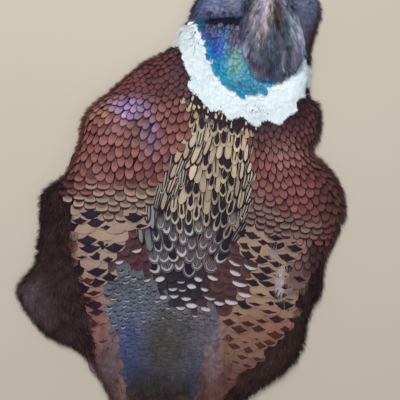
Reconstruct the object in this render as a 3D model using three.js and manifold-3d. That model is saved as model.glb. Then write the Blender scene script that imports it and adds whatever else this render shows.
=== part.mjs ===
// The flat skin of a cock ring-necked pheasant, life size, as a taxidermist tans and stores it:
// opened along the belly, without wings, legs or tail, laid on its hide with the back up.
// The head stays on, chin down, with its bill, red face and glass eyes.
//
// Millimetres. +Y runs from the rump to the bill, +X to the bird's right, +Z up.
// The origin is on the ground under the middle of the skin.
//
// The plumage is one sheet: a height field over the skin's outline, out to the feather tips,
// which thin upright cuts part into the regions of a bird's coat. The head, the bill, the bare
// face and the eyes are bodies of their own, let into the sheet and into each other.

import * as THREE from "three";
import Module from "manifold-3d";
import { mergeVertices } from "three/addons/utils/BufferGeometryUtils.js";

const wasm = await Module();
wasm.setup();

// ---- Driving dimensions ----------------------------------------------------------------------

const GAP = 0.3; // between neighbouring bodies
const FACETING = 0.15; // how far a facet may lie from the shape it stands for

const SHEET = {
  rim: 3.5, // depth of the coat at its very edge
  roll: 27, // how far in from the edge the coat reaches its full depth
  loft: 18, // full depth of hide and coat where nothing swells it
  rowStep: 6, // rows of the height field along the bird
  columns: 20, // quads across it
};

// Where the coat swells: centre, how much higher it rises and how far that reaches.
const SWELLS = [
  { x: -57, y: 61, rise: 14, reach: 44 }, // left breast
  { x: -95, y: 20, rise: 4, reach: 26 },
  { x: 100, y: 12, rise: 11, reach: 34 }, // right breast
  { x: 86, y: 52, rise: 6, reach: 24 },
  { x: 30, y: 34, rise: 6, reach: 38 }, // mantle
  { x: 6, y: -34, rise: 6, reach: 30 }, // scapulars
  { x: -80, y: -45, rise: 5, reach: 34 }, // left flank
  { x: 82, y: -70, rise: 6, reach: 40 }, // right flank
  { x: -22, y: -125, rise: 5, reach: 36 }, // rump
];
const COLLAR_RIDGE = { rise: 7, halfWidth: 14 };
const SPINE_GROOVE = { depth: 4, halfWidth: 6 };

// The coat's left and right edge from the throat down to the last tail coverts, as [x, y] on a
// smooth line.
const LEFT_EDGE = [
  [53, 198], [31, 195], [16, 188], [9, 177], [8, 167], [-2, 159], [-6, 144], [-38, 126], [-65, 102],
  [-89, 81], [-94, 56], [-107, 25], [-127, 8], [-129, -20], [-135, -61], [-150.4, -79], [-139, -104],
  [-122, -122], [-95, -133], [-75, -160], [-57, -196], [-41, -216], [-21, -229],
];
const RIGHT_EDGE = [
  [107, 198], [119, 194], [127, 180], [118, 143], [117, 110], [114, 98], [126, 88], [125, 60],
  [118, 49], [127, 37], [141, 23], [150, -8], [139, -36], [129, -62], [127, -82], [117, -98],
  [108, -137], [97, -152], [57, -180], [24, -219], [0, -229],
];

// The cuts between the regions, as smooth lines whose ends cross another cut or the edge.
const CUTS = {
  collarFoot: [
    [-15, 148], [-2, 139], [12, 97], [33, 80], [80, 71], [105, 82], [114, 94], [134, 100],
  ],
  collarTop: [
    [-15, 163], [9, 163], [17, 150], [29, 115], [59, 92], [80, 100], [112, 127], [134, 130],
  ],
  throat: [[3, 157], [14, 162], [80, 167], [103, 160], [111, 147], [114, 117]],
  leftOfSpine: [
    [10, 103], [1, 85], [6, 54], [-25, 9], [-32, -19], [-50, -37], [-67, -74], [-57, -133],
    [-48, -178], [-21, -241],
  ],
  rightOfSpine: [
    [74, 75], [62, 44], [59, -2], [52, -39], [61, -58], [58, -90], [33, -111], [20, -147],
    [9, -205], [-3, -241],
  ],
  mantleFoot: [[-34, -3], [14, -18], [65, -5]],
  scapularFoot: [[-38, -10], [-35, -44], [-20, -67], [6, -67], [36, -52], [58, -32]],
  backFoot: [[-73, -66], [-34, -69], [-15, -92], [42, -109]],
  rumpFoot: [[-60, -167], [-20, -180], [22, -171]],
  leftBreastFoot: [[-111, 8], [-66, -9], [-26, -7]],
  rightBreastFoot: [[52, -10], [89, -27], [129, -45], [155, -50]],
  leftBelly: [
    [-131, 21], [-109, 9], [-102, -15], [-99, -54], [-89, -83], [-84, -115], [-82, -135], [-96, -150],
  ],
  rightBelly: [
    [150, -54], [130, -61], [114, -74], [98, -113], [72, -142], [44, -171], [37, -189], [54, -210],
  ],
};

// Each region of the sheet: a point inside it and its colour.
const REGIONS = {
  cheek_left: { at: [28, 175], colour: 0x4c5672 },
  cheek_right: { at: [117, 165], colour: 0x474c60 },
  neck: { at: [30, 140], colour: 0x1f7fa0 },
  collar: { at: [40, 90], colour: 0xe8f2f6 },
  mantle: { at: [30, 20], colour: 0xa8905c },
  scapulars: { at: [8, -35], colour: 0x6d6158 },
  lower_back: { at: [35, -85], colour: 0x5b3a38 },
  rump: { at: [-23, -125], colour: 0x59605f },
  tail_coverts: { at: [-15, -200], colour: 0x4a3c2c },
  breast_left: { at: [-57, 55], colour: 0x7d4433 },
  breast_right: { at: [100, 15], colour: 0x743f33 },
  flank_left: { at: [-78, -60], colour: 0xa07652 },
  flank_right: { at: [75, -95], colour: 0xa07652 },
  belly_left: { at: [-120, -45], colour: 0x2c2024 },
  belly_right: { at: [113, -105], colour: 0x33262a },
};

// The head from the nape's feather tips to the bill: place along Y, middle in X, half width,
// underside and top. The nape lies over the neck; the skull and throat reach the ground.
const HEAD_STATIONS = [
  { y: 110, x: 83, half: 9, low: 20.5, high: 23.5 },
  { y: 117, x: 83, half: 19, low: 19, high: 26.5 },
  { y: 128, x: 83, half: 25, low: 18.5, high: 30.5 },
  { y: 142, x: 82, half: 28, low: 17.5, high: 34.5 },
  { y: 152, x: 81, half: 27.5, low: 9, high: 37 },
  { y: 162, x: 80, half: 25, low: 0, high: 39 },
  { y: 175, x: 79, half: 21.5, low: 0, high: 39.5 },
  { y: 187, x: 78, half: 17.5, low: 0, high: 36.5 },
  { y: 197, x: 77.5, half: 12.5, low: 2, high: 30 },
  { y: 203, x: 77, half: 8.5, low: 6, high: 24 },
];
const UPPER_BILL_STATIONS = [
  { y: 200, x: 77.2, half: 6.6, low: 12.4, high: 23.6 },
  { y: 209, x: 76.9, half: 5.7, low: 12.1, high: 22.4 },
  { y: 217, x: 76.5, half: 4.4, low: 11.6, high: 20.2 },
  { y: 223, x: 76.2, half: 3, low: 10.6, high: 17 },
  { y: 227, x: 76, half: 1.7, low: 9.2, high: 13.4 },
  { y: 229, x: 75.9, half: 0.8, low: 8.2, high: 10.8 },
];
const LOWER_BILL_STATIONS = [
  { y: 200, x: 77.2, half: 5.4, low: 7.2, high: 12.1 },
  { y: 211, x: 76.8, half: 4.3, low: 7.6, high: 11.8 },
  { y: 218, x: 76.4, half: 2.9, low: 8.2, high: 11.2 },
  { y: 224, x: 76.1, half: 1.2, low: 9, high: 10.2 },
];
const LOFT = { sides: 20, squareness: 2.3 };

const FACE = {
  y: 186.5, // middle of the bare face along the head
  z: 23.5,
  fromAxis: 15, // middle of the lens that stands for it, from the head's middle
  thickness: 9,
  length: 29,
  height: 19,
  turn: THREE.MathUtils.degToRad(22), // the face narrows towards the bill
};
const EYE = { radius: 5, out: 0.5 }; // out: the eye's centre beyond the lens's, away from the head

// ---- Solids ----------------------------------------------------------------------------------

// A closed mesh as a solid.
function solid(geometry, matrix = new THREE.Matrix4()) {
  const bare = new THREE.BufferGeometry()
    .setAttribute("position", geometry.getAttribute("position").clone())
    .setIndex(geometry.index)
    .applyMatrix4(matrix);
  const merged = mergeVertices(bare, 1e-4);
  return new wasm.Manifold(
    new wasm.Mesh({
      numProp: 3,
      vertProperties: new Float32Array(merged.getAttribute("position").array),
      triVerts: new Uint32Array(merged.index.array),
    }),
  );
}

// A solid as a flat-shaded mesh with a name and a colour.
function named(name, body, colour, roughness = 0.8) {
  const { vertProperties, triVerts, numProp } = body.simplify(FACETING).getMesh();
  const corners = new Float32Array(triVerts.length * 3);
  triVerts.forEach((vertex, i) => {
    for (let k = 0; k < 3; k += 1) corners[3 * i + k] = vertProperties[vertex * numProp + k];
  });
  const geometry = new THREE.BufferGeometry();
  geometry.setAttribute("position", new THREE.BufferAttribute(corners, 3));
  geometry.computeVertexNormals();
  const material = new THREE.MeshStandardMaterial({ color: colour, roughness, metalness: 0 });
  const mesh = new THREE.Mesh(geometry, material);
  mesh.name = name;
  return mesh;
}

// A body through superelliptic sections across Y, grown outwards by `grow` all round.
function loft(stations, grow = 0) {
  const { sides, squareness } = LOFT;
  const rounded = (c) => Math.sign(c) * Math.abs(c) ** (2 / squareness);
  const points = [];
  const faces = [];
  stations.forEach(({ y, x, half, low, high }, row) => {
    const push = row === 0 ? -grow : row === stations.length - 1 ? grow : 0;
    for (let i = 0; i < sides; i += 1) {
      const angle = (2 * Math.PI * i) / sides;
      points.push(
        x + (half + grow) * rounded(Math.cos(angle)),
        y + push,
        (low + high) / 2 + ((high - low) / 2 + grow) * rounded(Math.sin(angle)),
      );
    }
  });
  for (let row = 0; row + 1 < stations.length; row += 1)
    for (let i = 0; i < sides; i += 1) {
      const a = row * sides + i;
      const b = row * sides + ((i + 1) % sides);
      faces.push(a, a + sides, b, b, a + sides, b + sides);
    }
  const last = (stations.length - 1) * sides;
  for (let i = 1; i + 1 < sides; i += 1) faces.push(0, i, i + 1, last, last + i + 1, last + i);
  const geometry = new THREE.BufferGeometry();
  geometry.setAttribute("position", new THREE.Float32BufferAttribute(points, 3));
  geometry.setIndex(faces);
  return solid(geometry);
}

// A smooth line on the ground through points given as [x, y].
const smooth = (points) =>
  new THREE.CatmullRomCurve3(points.map(([x, y]) => new THREE.Vector3(x, y, 0)), false, "centripetal");

// An upright wall as thick as GAP along a smooth line through the points.
function wall(points) {
  const low = -5;
  const high = 70;
  const line = smooth(points);
  const steps = points.length * 3;
  const sides = [[], []];
  for (let i = 0; i <= steps; i += 1) {
    const at = line.getPoint(i / steps);
    const along = line.getTangent(i / steps);
    const across = new THREE.Vector3(-along.y, along.x, 0).multiplyScalar(GAP / 2);
    sides[0].push(at.clone().add(across));
    sides[1].push(at.clone().sub(across));
  }
  const shape = new THREE.Shape([...sides[0], ...sides[1].reverse()]);
  const geometry = new THREE.ExtrudeGeometry(shape, { depth: high - low, bevelEnabled: false });
  return solid(geometry, new THREE.Matrix4().makeTranslation(0, 0, low));
}

// ---- The sheet of hide and plumage -----------------------------------------------------------

// The x of an edge that runs down from the throat, at the place y.
function edgeAt(edge, y) {
  const next = edge.findIndex((point) => point[1] <= y);
  if (next < 1) return edge.at(next)[0];
  const [low, high] = [edge[next], edge[next - 1]];
  return THREE.MathUtils.mapLinear(y, low[1], high[1], low[0], high[0]);
}

function distanceTo(line, x, y) {
  let nearest = Infinity;
  for (let i = 0; i + 1 < line.length; i += 1) {
    const [ax, ay] = line[i];
    const [bx, by] = line[i + 1];
    const length2 = (bx - ax) ** 2 + (by - ay) ** 2;
    const share = THREE.MathUtils.clamp(((x - ax) * (bx - ax) + (y - ay) * (by - ay)) / length2, 0, 1);
    nearest = Math.min(nearest, Math.hypot(x - ax - share * (bx - ax), y - ay - share * (by - ay)));
  }
  return nearest;
}

const sampled = (points) => smooth(points).getPoints(4 * points.length).map(({ x, y }) => [x, y]);
const bell = (distance, reach) => Math.exp(-((distance / reach) ** 2));

// The middle line of the white ring, halfway between the cuts on either side of it.
const collarFoot = sampled(CUTS.collarFoot);
const collarMiddle = sampled(CUTS.collarTop)
  .filter(([x]) => x > 16 && x < 112)
  .map(([x, y]) => {
    const foot = collarFoot.reduce((best, point) =>
      Math.hypot(point[0] - x, point[1] - y) < Math.hypot(best[0] - x, best[1] - y) ? point : best,
    );
    return [(x + foot[0]) / 2, (y + foot[1]) / 2];
  });
const spineGrooves = [CUTS.leftOfSpine, CUTS.rightOfSpine].map((cut) =>
  sampled(cut).filter(([, y]) => y > -30 && y < 90),
);

// The height of the feather tips over the ground.
function coatHeight(x, y, outline) {
  let full = SHEET.loft;
  for (const swell of SWELLS)
    full += swell.rise * bell(Math.hypot(x - swell.x, y - swell.y), swell.reach);
  full += COLLAR_RIDGE.rise * bell(distanceTo(collarMiddle, x, y), COLLAR_RIDGE.halfWidth);
  for (const groove of spineGrooves)
    full -= SPINE_GROOVE.depth * bell(distanceTo(groove, x, y), SPINE_GROOVE.halfWidth);
  const inward = Math.min(distanceTo(outline, x, y) / SHEET.roll, 1);
  return SHEET.rim + (full - SHEET.rim) * Math.sqrt(1 - (1 - inward) ** 2);
}

function plumageSheet() {
  const top = LEFT_EDGE[0][1];
  const foot = LEFT_EDGE.at(-1)[1];
  const leftEdge = sampled(LEFT_EDGE);
  const rightEdge = sampled(RIGHT_EDGE);
  const rows = Math.round((top - foot) / SHEET.rowStep);
  const { columns } = SHEET;
  const rowY = (row) => THREE.MathUtils.lerp(foot, top, row / rows);
  const spans = [];
  for (let row = 0; row <= rows; row += 1)
    spans.push([edgeAt(leftEdge, rowY(row)), edgeAt(rightEdge, rowY(row))]);
  const outline = [
    ...spans.map(([left], row) => [left, rowY(row)]),
    ...spans.map(([, right], row) => [right, rowY(row)]).reverse(),
  ];
  outline.push(outline[0]);

  // Columns lie closer together towards the two edges, where the coat rolls down.
  const columnShare = (i) => (i / columns + (1 - Math.cos((Math.PI * i) / columns)) / 2) / 2;
  const points = [];
  for (let row = 0; row <= rows; row += 1)
    for (let i = 0; i <= columns; i += 1) {
      const x = THREE.MathUtils.lerp(...spans[row], columnShare(i));
      points.push(x, rowY(row), coatHeight(x, rowY(row), outline));
    }
  const onTop = (row, i) => row * (columns + 1) + i;
  // The ground needs only the two edges: one quad spans each row.
  const firstOnGround = points.length / 3;
  spans.forEach((span, row) => span.forEach((x) => points.push(x, rowY(row), 0)));
  const onGround = (row, side) => firstOnGround + 2 * row + side;

  const faces = [];
  const quad = (a, b, c, d) => faces.push(a, b, c, a, c, d);
  for (let row = 0; row < rows; row += 1) {
    for (let i = 0; i < columns; i += 1)
      quad(onTop(row, i), onTop(row, i + 1), onTop(row + 1, i + 1), onTop(row + 1, i));
    quad(onGround(row, 0), onGround(row + 1, 0), onGround(row + 1, 1), onGround(row, 1));
    quad(onTop(row, 0), onTop(row + 1, 0), onGround(row + 1, 0), onGround(row, 0));
    quad(onTop(row + 1, columns), onTop(row, columns), onGround(row, 1), onGround(row + 1, 1));
  }
  // Each end is a fan from its left corner on the ground.
  for (let i = 0; i < columns; i += 1) {
    faces.push(onGround(0, 0), onTop(0, i + 1), onTop(0, i));
    faces.push(onGround(rows, 0), onTop(rows, i), onTop(rows, i + 1));
  }
  faces.push(onGround(0, 0), onGround(0, 1), onTop(0, columns));
  faces.push(onGround(rows, 0), onTop(rows, columns), onGround(rows, 1));
  const geometry = new THREE.BufferGeometry();
  geometry.setAttribute("position", new THREE.Float32BufferAttribute(points, 3));
  geometry.setIndex(faces);
  return solid(geometry);
}

// ---- The head --------------------------------------------------------------------------------

const headMiddle = HEAD_STATIONS.find(({ y }) => y === 187).x;

// side is -1 on the bird's left and 1 on its right.
function faceLens(side, grow = 0) {
  const place = new THREE.Matrix4()
    .makeTranslation(headMiddle + side * FACE.fromAxis, FACE.y, FACE.z)
    .multiply(new THREE.Matrix4().makeRotationZ(side * FACE.turn))
    .multiply(
      new THREE.Matrix4().makeScale(
        FACE.thickness / 2 + grow,
        FACE.length / 2 + grow,
        FACE.height / 2 + grow,
      ),
    );
  return solid(new THREE.SphereGeometry(1, 16, 10), place);
}

function eyeball(side, grow = 0) {
  const out = FACE.fromAxis + EYE.out * Math.cos(FACE.turn);
  const forward = EYE.out * Math.sin(FACE.turn);
  const place = new THREE.Matrix4().makeTranslation(headMiddle + side * out, FACE.y + forward, FACE.z);
  return solid(new THREE.SphereGeometry(EYE.radius + grow, 18, 10), place);
}

// ---- Assembly --------------------------------------------------------------------------------

const pheasant = new THREE.Group();

let head = loft(HEAD_STATIONS);
const roomForHead = loft(HEAD_STATIONS, GAP);
// The hide is open under the chin, where the head itself reaches the ground.
const chinStations = HEAD_STATIONS.filter(({ low }) => low < 9);
const roomForChin = loft(chinStations.map((station) => ({ ...station, low: -station.high })), GAP);
let sheet = plumageSheet().subtract(roomForHead).subtract(roomForChin);
for (const [sideName, side] of [["left", -1], ["right", 1]]) {
  head = head.subtract(faceLens(side, GAP)).subtract(eyeball(side, GAP));
  sheet = sheet.subtract(faceLens(side, GAP));
  pheasant.add(
    named(`face_${sideName}`, faceLens(side).subtract(eyeball(side, GAP)), 0xa01c1c, 0.6),
    named(`eye_${sideName}`, eyeball(side), 0x8a4a12, 0.1),
  );
}
pheasant.add(
  named("head", head, 0x50574f),
  named("bill_upper", loft(UPPER_BILL_STATIONS).subtract(roomForHead), 0xc9bd8c, 0.4),
  named("bill_lower", loft(LOWER_BILL_STATIONS).subtract(roomForHead), 0xbfb182, 0.4),
);

for (const points of Object.values(CUTS)) sheet = sheet.subtract(wall(points));
const pieces = sheet.decompose();
for (const [name, { at, colour }] of Object.entries(REGIONS)) {
  const needle = solid(new THREE.BoxGeometry(1, 1, 200), new THREE.Matrix4().makeTranslation(...at, 0));
  const piece = pieces.find((body) => body.intersect(needle).volume() > 0);
  pheasant.add(named(name, piece, colour));
}

export default pheasant;
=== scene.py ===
"""The flat skin of a cock ring-necked pheasant, dressed over its CAD solids.

One skin replaces the solids of flesh. Over it lie contour feathers, which are thin mesh vanes, and
soft strands of down. Lengths are in millimetres until a mesh is made; +Y runs to the bill, +Z up.
"""

import math

import bpy
import numpy as np
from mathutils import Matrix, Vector
from mathutils.bvhtree import BVHTree
from mathutils.kdtree import KDTree


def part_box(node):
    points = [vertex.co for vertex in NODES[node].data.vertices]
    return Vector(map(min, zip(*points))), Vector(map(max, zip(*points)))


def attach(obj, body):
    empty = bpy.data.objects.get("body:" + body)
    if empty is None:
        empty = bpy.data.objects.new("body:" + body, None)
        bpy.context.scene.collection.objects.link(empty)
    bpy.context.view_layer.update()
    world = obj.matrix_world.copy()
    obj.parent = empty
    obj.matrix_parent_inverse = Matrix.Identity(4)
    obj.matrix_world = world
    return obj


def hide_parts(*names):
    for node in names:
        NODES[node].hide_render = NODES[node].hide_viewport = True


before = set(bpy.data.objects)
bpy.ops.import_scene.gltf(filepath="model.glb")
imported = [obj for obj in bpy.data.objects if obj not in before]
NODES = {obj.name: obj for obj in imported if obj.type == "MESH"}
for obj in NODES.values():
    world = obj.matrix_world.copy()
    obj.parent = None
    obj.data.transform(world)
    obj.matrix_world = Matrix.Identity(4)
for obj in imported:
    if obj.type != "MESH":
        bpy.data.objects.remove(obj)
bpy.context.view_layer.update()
MM = 0.001
random = np.random.default_rng(4410)

SHEET = [
    "cheek_left", "cheek_right", "neck", "collar", "mantle", "scapulars", "lower_back", "rump",
    "tail_coverts", "breast_left", "breast_right", "flank_left", "flank_right", "belly_left",
    "belly_right",
]
FLESH = SHEET + ["head"]
FACES = ["face_left", "face_right"]


# ---- Colours -----------------------------------------------------------------------------------

def paint(red, green, blue):
    """A colour given as it looks on a screen, 0 to 255, as linear numbers."""
    c = np.array([red, green, blue], float) / 255
    return np.where(c <= 0.04045, c / 12.92, ((c + 0.055) / 1.055) ** 2.4)


# The feathers' own colour in each region.
REGION_TINTS = {
    "head": (106, 108, 132), "cheek_left": (104, 114, 152), "cheek_right": (100, 102, 128),
    "neck": (18, 150, 190), "collar": (238, 250, 252), "mantle": (184, 164, 136),
    "scapulars": (128, 116, 112), "lower_back": (84, 50, 52), "rump": (90, 92, 102),
    "tail_coverts": (62, 52, 50), "breast_left": (141, 90, 82), "breast_right": (129, 77, 72),
    "flank_left": (162, 136, 120), "flank_right": (156, 130, 106), "belly_left": (37, 21, 28),
    "belly_right": (50, 30, 31), "face_left": (130, 30, 28), "face_right": (130, 30, 28),
}
# Where a region's colour shades into another: centre, reach along X and Y, colour and how far it
# goes.
SHADES = {
    "breast_left": [
        (-25, 112, 34, 24, (94, 50, 52), 1.0), (-62, 106, 26, 14, (110, 60, 60), 0.9),
        # (-50, 80) and (-30, 56) are painted sheen: lavender where the breast's gloss catches the
        # light.
        (-92, 70, 12, 30, (134, 80, 72), 0.8), (-50, 80, 15, 9, (158, 132, 168), 1.0),
        (-62, 70, 8, 7, (168, 112, 100), 0.8), (-30, 56, 6, 14, (150, 118, 144), 0.7),
        (-73, 76, 7, 5, (160, 124, 84), 0.9), (-42, 62, 6, 12, (134, 104, 76), 0.6),
        (-112, 12, 14, 16, (78, 46, 46), 1.0),
    ],
    "breast_right": [
        (92, 80, 26, 12, (86, 44, 44), 1.0), (114, 96, 14, 14, (84, 58, 56), 1.0),
        (128, 62, 12, 22, (98, 66, 64), 0.8), (138, 4, 17, 42, (88, 54, 50), 1.0),
        (96, 40, 12, 12, (146, 104, 100), 0.7), (64, 0, 9, 9, (112, 98, 98), 0.6),
    ],
    "flank_left": [
        (-58, -108, 30, 18, (140, 106, 96), 1.0), (-82, -142, 30, 16, (132, 86, 80), 1.0),
        (-66, -146, 12, 24, (114, 94, 98), 1.0), (-60, -190, 26, 22, (104, 70, 64), 1.0),
        (-38, -50, 8, 12, (84, 46, 48), 1.0), (-102, -60, 10, 30, (112, 68, 60), 0.9),
        (-84, -100, 12, 18, (138, 90, 80), 0.9),
    ],
    "flank_right": [
        (74, -124, 40, 22, (136, 98, 80), 1.0), (44, -166, 26, 26, (108, 72, 64), 1.0),
        (28, -128, 8, 26, (122, 104, 112), 1.0), (106, -66, 11, 16, (104, 74, 74), 0.9),
        (124, -56, 12, 32, (66, 43, 43), 1.0), (30, -200, 20, 20, (98, 66, 58), 1.0),
        (17, -176, 9, 26, (92, 62, 58), 1.0),
    ],
    "belly_left": [
        (-126, -84, 16, 24, (80, 64, 68), 1.0), (-112, -112, 16, 16, (58, 42, 44), 1.0),
    ],
    "mantle": [
        (8, 78, 8, 12, (178, 148, 96), 0.8), (34, -2, 26, 16, (166, 152, 128), 0.8),
    ],
    "scapulars": [
        (8, -12, 50, 17, (166, 150, 122), 1.0), (-24, -40, 12, 24, (124, 128, 132), 0.8),
        (32, -52, 22, 16, (118, 98, 98), 0.9),
    ],
    "lower_back": [
        (-4, -84, 24, 18, (38, 34, 42), 1.0), (-44, -50, 12, 22, (78, 42, 48), 1.0),
    ],
    "rump": [
        (-40, -96, 26, 14, (98, 106, 122), 1.0), (-42, -128, 14, 22, (74, 88, 132), 1.0),
        (-42, -160, 13, 16, (56, 64, 96), 1.0), (12, -156, 9, 30, (66, 68, 96), 1.0),
        (20, -124, 9, 20, (104, 94, 106), 0.9), (-14, -126, 20, 26, (74, 70, 66), 1.0),
        # (-20, -172) darkens the rump's lower end: partly its own dark brown, partly painted shade
        # where the light falls off towards the tail.
        (-20, -172, 32, 17, (46, 36, 34), 1.0),
    ],
    "neck": [
        # (49, 126) is painted sheen: a paler green spot where the neck's gloss catches the light.
        (32, 142, 8, 14, (18, 92, 182), 1.0), (49, 126, 7, 13, (104, 166, 160), 1.0),
        (48, 148, 7, 12, (74, 70, 100), 1.0), (24, 152, 10, 7, (54, 70, 130), 1.0),
        # (38, 162) is painted shadow in the fold under the cheeks.
        (38, 162, 22, 6, (20, 22, 42), 1.0), (60, 103, 14, 7, (32, 118, 150), 0.8),
    ],
    "cheek_left": [
        # (36, 166) is painted shadow in the fold between the cheek and the neck.
        (22, 182, 16, 9, (124, 132, 172), 0.9), (36, 166, 22, 5, (24, 25, 46), 1.0),
        (12, 186, 8, 14, (50, 62, 104), 0.9), (47, 188, 6, 9, (134, 136, 152), 0.9),
    ],
    "cheek_right": [
        (122, 138, 9, 34, (64, 44, 52), 1.0), (112, 184, 14, 14, (104, 112, 142), 0.8),
    ],
    "head": [
        (84, 146, 15, 22, (78, 90, 104), 0.9), (78, 124, 18, 8, (78, 80, 102), 1.0),
        # (74, 192) is painted sheen: the pale lavender gloss over the top of the crown.
        (74, 192, 14, 15, (200, 194, 212), 1.0), (74, 166, 2.3, 15, (204, 190, 200), 1.0),
        (65, 169, 2.2, 11, (198, 186, 196), 1.0), (79, 174, 1.8, 12, (190, 170, 168), 0.9),
        (84, 168, 3.4, 13, (80, 64, 64), 1.0), (69, 150, 1.4, 10, (160, 150, 158), 0.9),
        (102, 166, 3.6, 14, (206, 218, 242), 1.0), (95, 163, 2.2, 9, (150, 170, 180), 0.9),
        (107, 156, 2.4, 12, (214, 218, 244), 1.0), (98, 138, 1.8, 10, (150, 150, 166), 0.9),
        (89, 133, 1.4, 9, (140, 136, 146), 0.9), (57, 136, 3.0, 9, (206, 208, 230), 1.0),
        (66, 122, 6, 4, (150, 146, 164), 0.9),
    ],
}


def mixed(first, second, share):
    """The first, shaded into the second by a share of 0 to 1."""
    return first * (1 - share) + second * share


def ramp(value, start, end):
    """0 at the start, 1 at the end and even between."""
    return np.clip((value - start) / (end - start), 0, 1)


def bell(value, middle, reach):
    return np.exp(-(((value - middle) / reach) ** 2))


def blob(x, y, at_x, at_y, reach_x, reach_y):
    """1 at the middle of a soft oval, fading to 0 past its reach."""
    return np.exp(-(((x - at_x) / reach_x) ** 2) - ((y - at_y) / reach_y) ** 2)


def region_tint(region, x, y):
    """The feathers' colour at places of one region, painted sheen and shade included."""
    colour = np.tile(paint(*REGION_TINTS[region]), (len(x), 1))
    for *oval, shade, most in SHADES.get(region, []):
        share = most * np.clip(1.6 * blob(x, y, *oval), 0, 1)
        colour = mixed(colour, paint(*shade), share[:, None])
    return colour


# ---- Shaders -----------------------------------------------------------------------------------

class Value:
    """A number or a colour that a shader works out, used in sums like a plain number."""

    def __init__(self, shader, socket):
        self.shader, self.socket = shader, socket

    def math(self, operation, other=0.0):
        return self.shader.node("Math", {0: self, 1: other}, operation=operation)

    def __add__(self, other):
        return self.math("ADD", other)

    def __sub__(self, other):
        return self.math("SUBTRACT", other)

    def __rsub__(self, other):
        return self.shader.node("Math", {0: other, 1: self}, operation="SUBTRACT")

    def __mul__(self, other):
        return self.math("MULTIPLY", other)

    def __truediv__(self, other):
        return self.math("DIVIDE", other)

    def __pow__(self, other):
        return self.math("POWER", other)

    __radd__ = __add__
    __rmul__ = __mul__

    def waves(self):
        """Stripes between 0 and 1, one to each full turn of an angle."""
        return self.math("SINE") * 0.5 + 0.5

    def rise(self, low, high):
        """0 below low, 1 above high and smooth between."""
        sockets = {0: self, 1: low, 2: high}
        return self.shader.node("MapRange", sockets, interpolation_type="SMOOTHSTEP")

    def fall(self, low, high):
        return 1.0 - self.rise(low, high)

    def band(self, low, high, soft):
        return self.rise(low - soft, low + soft) * self.fall(high - soft, high + soft)

    def dim(self, share):
        """A colour times a number."""
        return self.shader.node("VectorMath", {0: self, "Scale": share}, operation="SCALE")


class Shader:
    """A material built by calls."""

    def __init__(self, name, roughness, specular, sheen=0.0, coat=0.0):
        self.material = bpy.data.materials.new(name)
        self.material.use_nodes = True
        self.tree = self.material.node_tree
        self.inputs = self.tree.nodes["Principled BSDF"].inputs
        settings = {"Roughness": roughness, "Specular IOR Level": specular, "Sheen Weight": sheen,
                    "Coat Weight": coat, "Coat Roughness": 0.05}
        for key, value in settings.items():
            self.inputs[key].default_value = value

    def node(self, kind, sockets=(), output=0, **settings):
        """What a new node of this kind gives out."""
        made = self.tree.nodes.new("ShaderNode" + kind)
        for key, value in settings.items():
            setattr(made, key, value)
        for key, value in dict(sockets).items():
            self.join(value, made.inputs[key])
        return Value(self, made.outputs[output])

    def join(self, value, socket):
        if isinstance(value, Value):
            self.tree.links.new(value.socket, socket)
        elif isinstance(value, np.ndarray):
            socket.default_value = (*value, 1)
        else:
            socket.default_value = value

    def number(self, name):
        return self.node("Attribute", output="Fac", attribute_name=name)

    def colour(self, name):
        return self.node("Attribute", output="Color", attribute_name=name)

    def texture(self, kind, scale, output=0, stretch=(1, 1, 1), **settings):
        """A texture on the object's own places, which may be scaled apart along X, Y and Z."""
        place = self.node("TexCoord", output="Object")
        if stretch != (1, 1, 1):
            place = self.node("Mapping", {"Vector": place, "Scale": stretch})
        return self.node("Tex" + kind, {"Scale": scale, "Vector": place, **settings}, output)

    def noise(self, scale, detail=2.0, **settings):
        return self.texture("Noise", scale, Detail=detail, **settings)

    def wobble(self, scale, much):
        return (self.noise(scale) - 0.5) * much

    def blend(self, share, first, second):
        return self.node("Mix", {0: share, 6: first, 7: second}, 2, data_type="RGBA")

    def finish(self, colour, height=None, depth=0.1 * MM, strength=0.6):
        self.join(colour, self.inputs["Base Color"])
        if height is not None:
            sockets = {"Strength": strength, "Distance": depth, "Height": height}
            self.join(self.node("Bump", sockets), self.inputs["Normal"])
        return self.material


BLACK = paint(26, 14, 32)
MAROON_BLACK = paint(50, 16, 26)
# The violet of the painted sheen on the breast's rims.
PAINTED_VIOLET_SHEEN = paint(58, 44, 104)
CREAM = paint(198, 182, 146)
OFF_WHITE = paint(196, 194, 194)
BARB_PITCH = 0.34


class Feather(Shader):
    """A vane's shader. It reads how far each point lies from the vane's edge, from its tip and from
    its shaft, in millimetres, and each feather's own tint, ink, chance and size of mark."""

    def __init__(self, *finish):
        super().__init__(*finish)
        self.edge, self.reach, self.side, self.across, self.chance, self.mark = (
            self.number(key) for key in ("edge", "reach", "side", "across", "chance", "mark"))
        self.tint, self.ink = self.colour("tint"), self.colour("ink")
        wave = ((self.reach + self.side * 0.9) * (2 * math.pi / BARB_PITCH)).math("SINE")
        self.barbs = wave * 0.5 + self.noise(1600.0, 1.0)

    def ground(self, shadow, low, deep):
        """The vane's colour: lighter barbs and a pale shaft, with painted shade, darker where the row
        above it covers it."""
        toned = self.tint.dim(self.barbs * 0.2 + 0.88)
        # Painted shade: the covered part toward the root is darkened as if shadowed by the row above.
        with_painted_shade = self.blend(self.reach.rise(low, deep), toned, self.tint.dim(shadow))
        return self.blend(self.side.fall(0.1, 0.3) * 0.3, with_painted_shade, self.tint.dim(1.25))


# What each kind of vane looks like. The lengths are millimetres from its edge or its tip.

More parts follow.
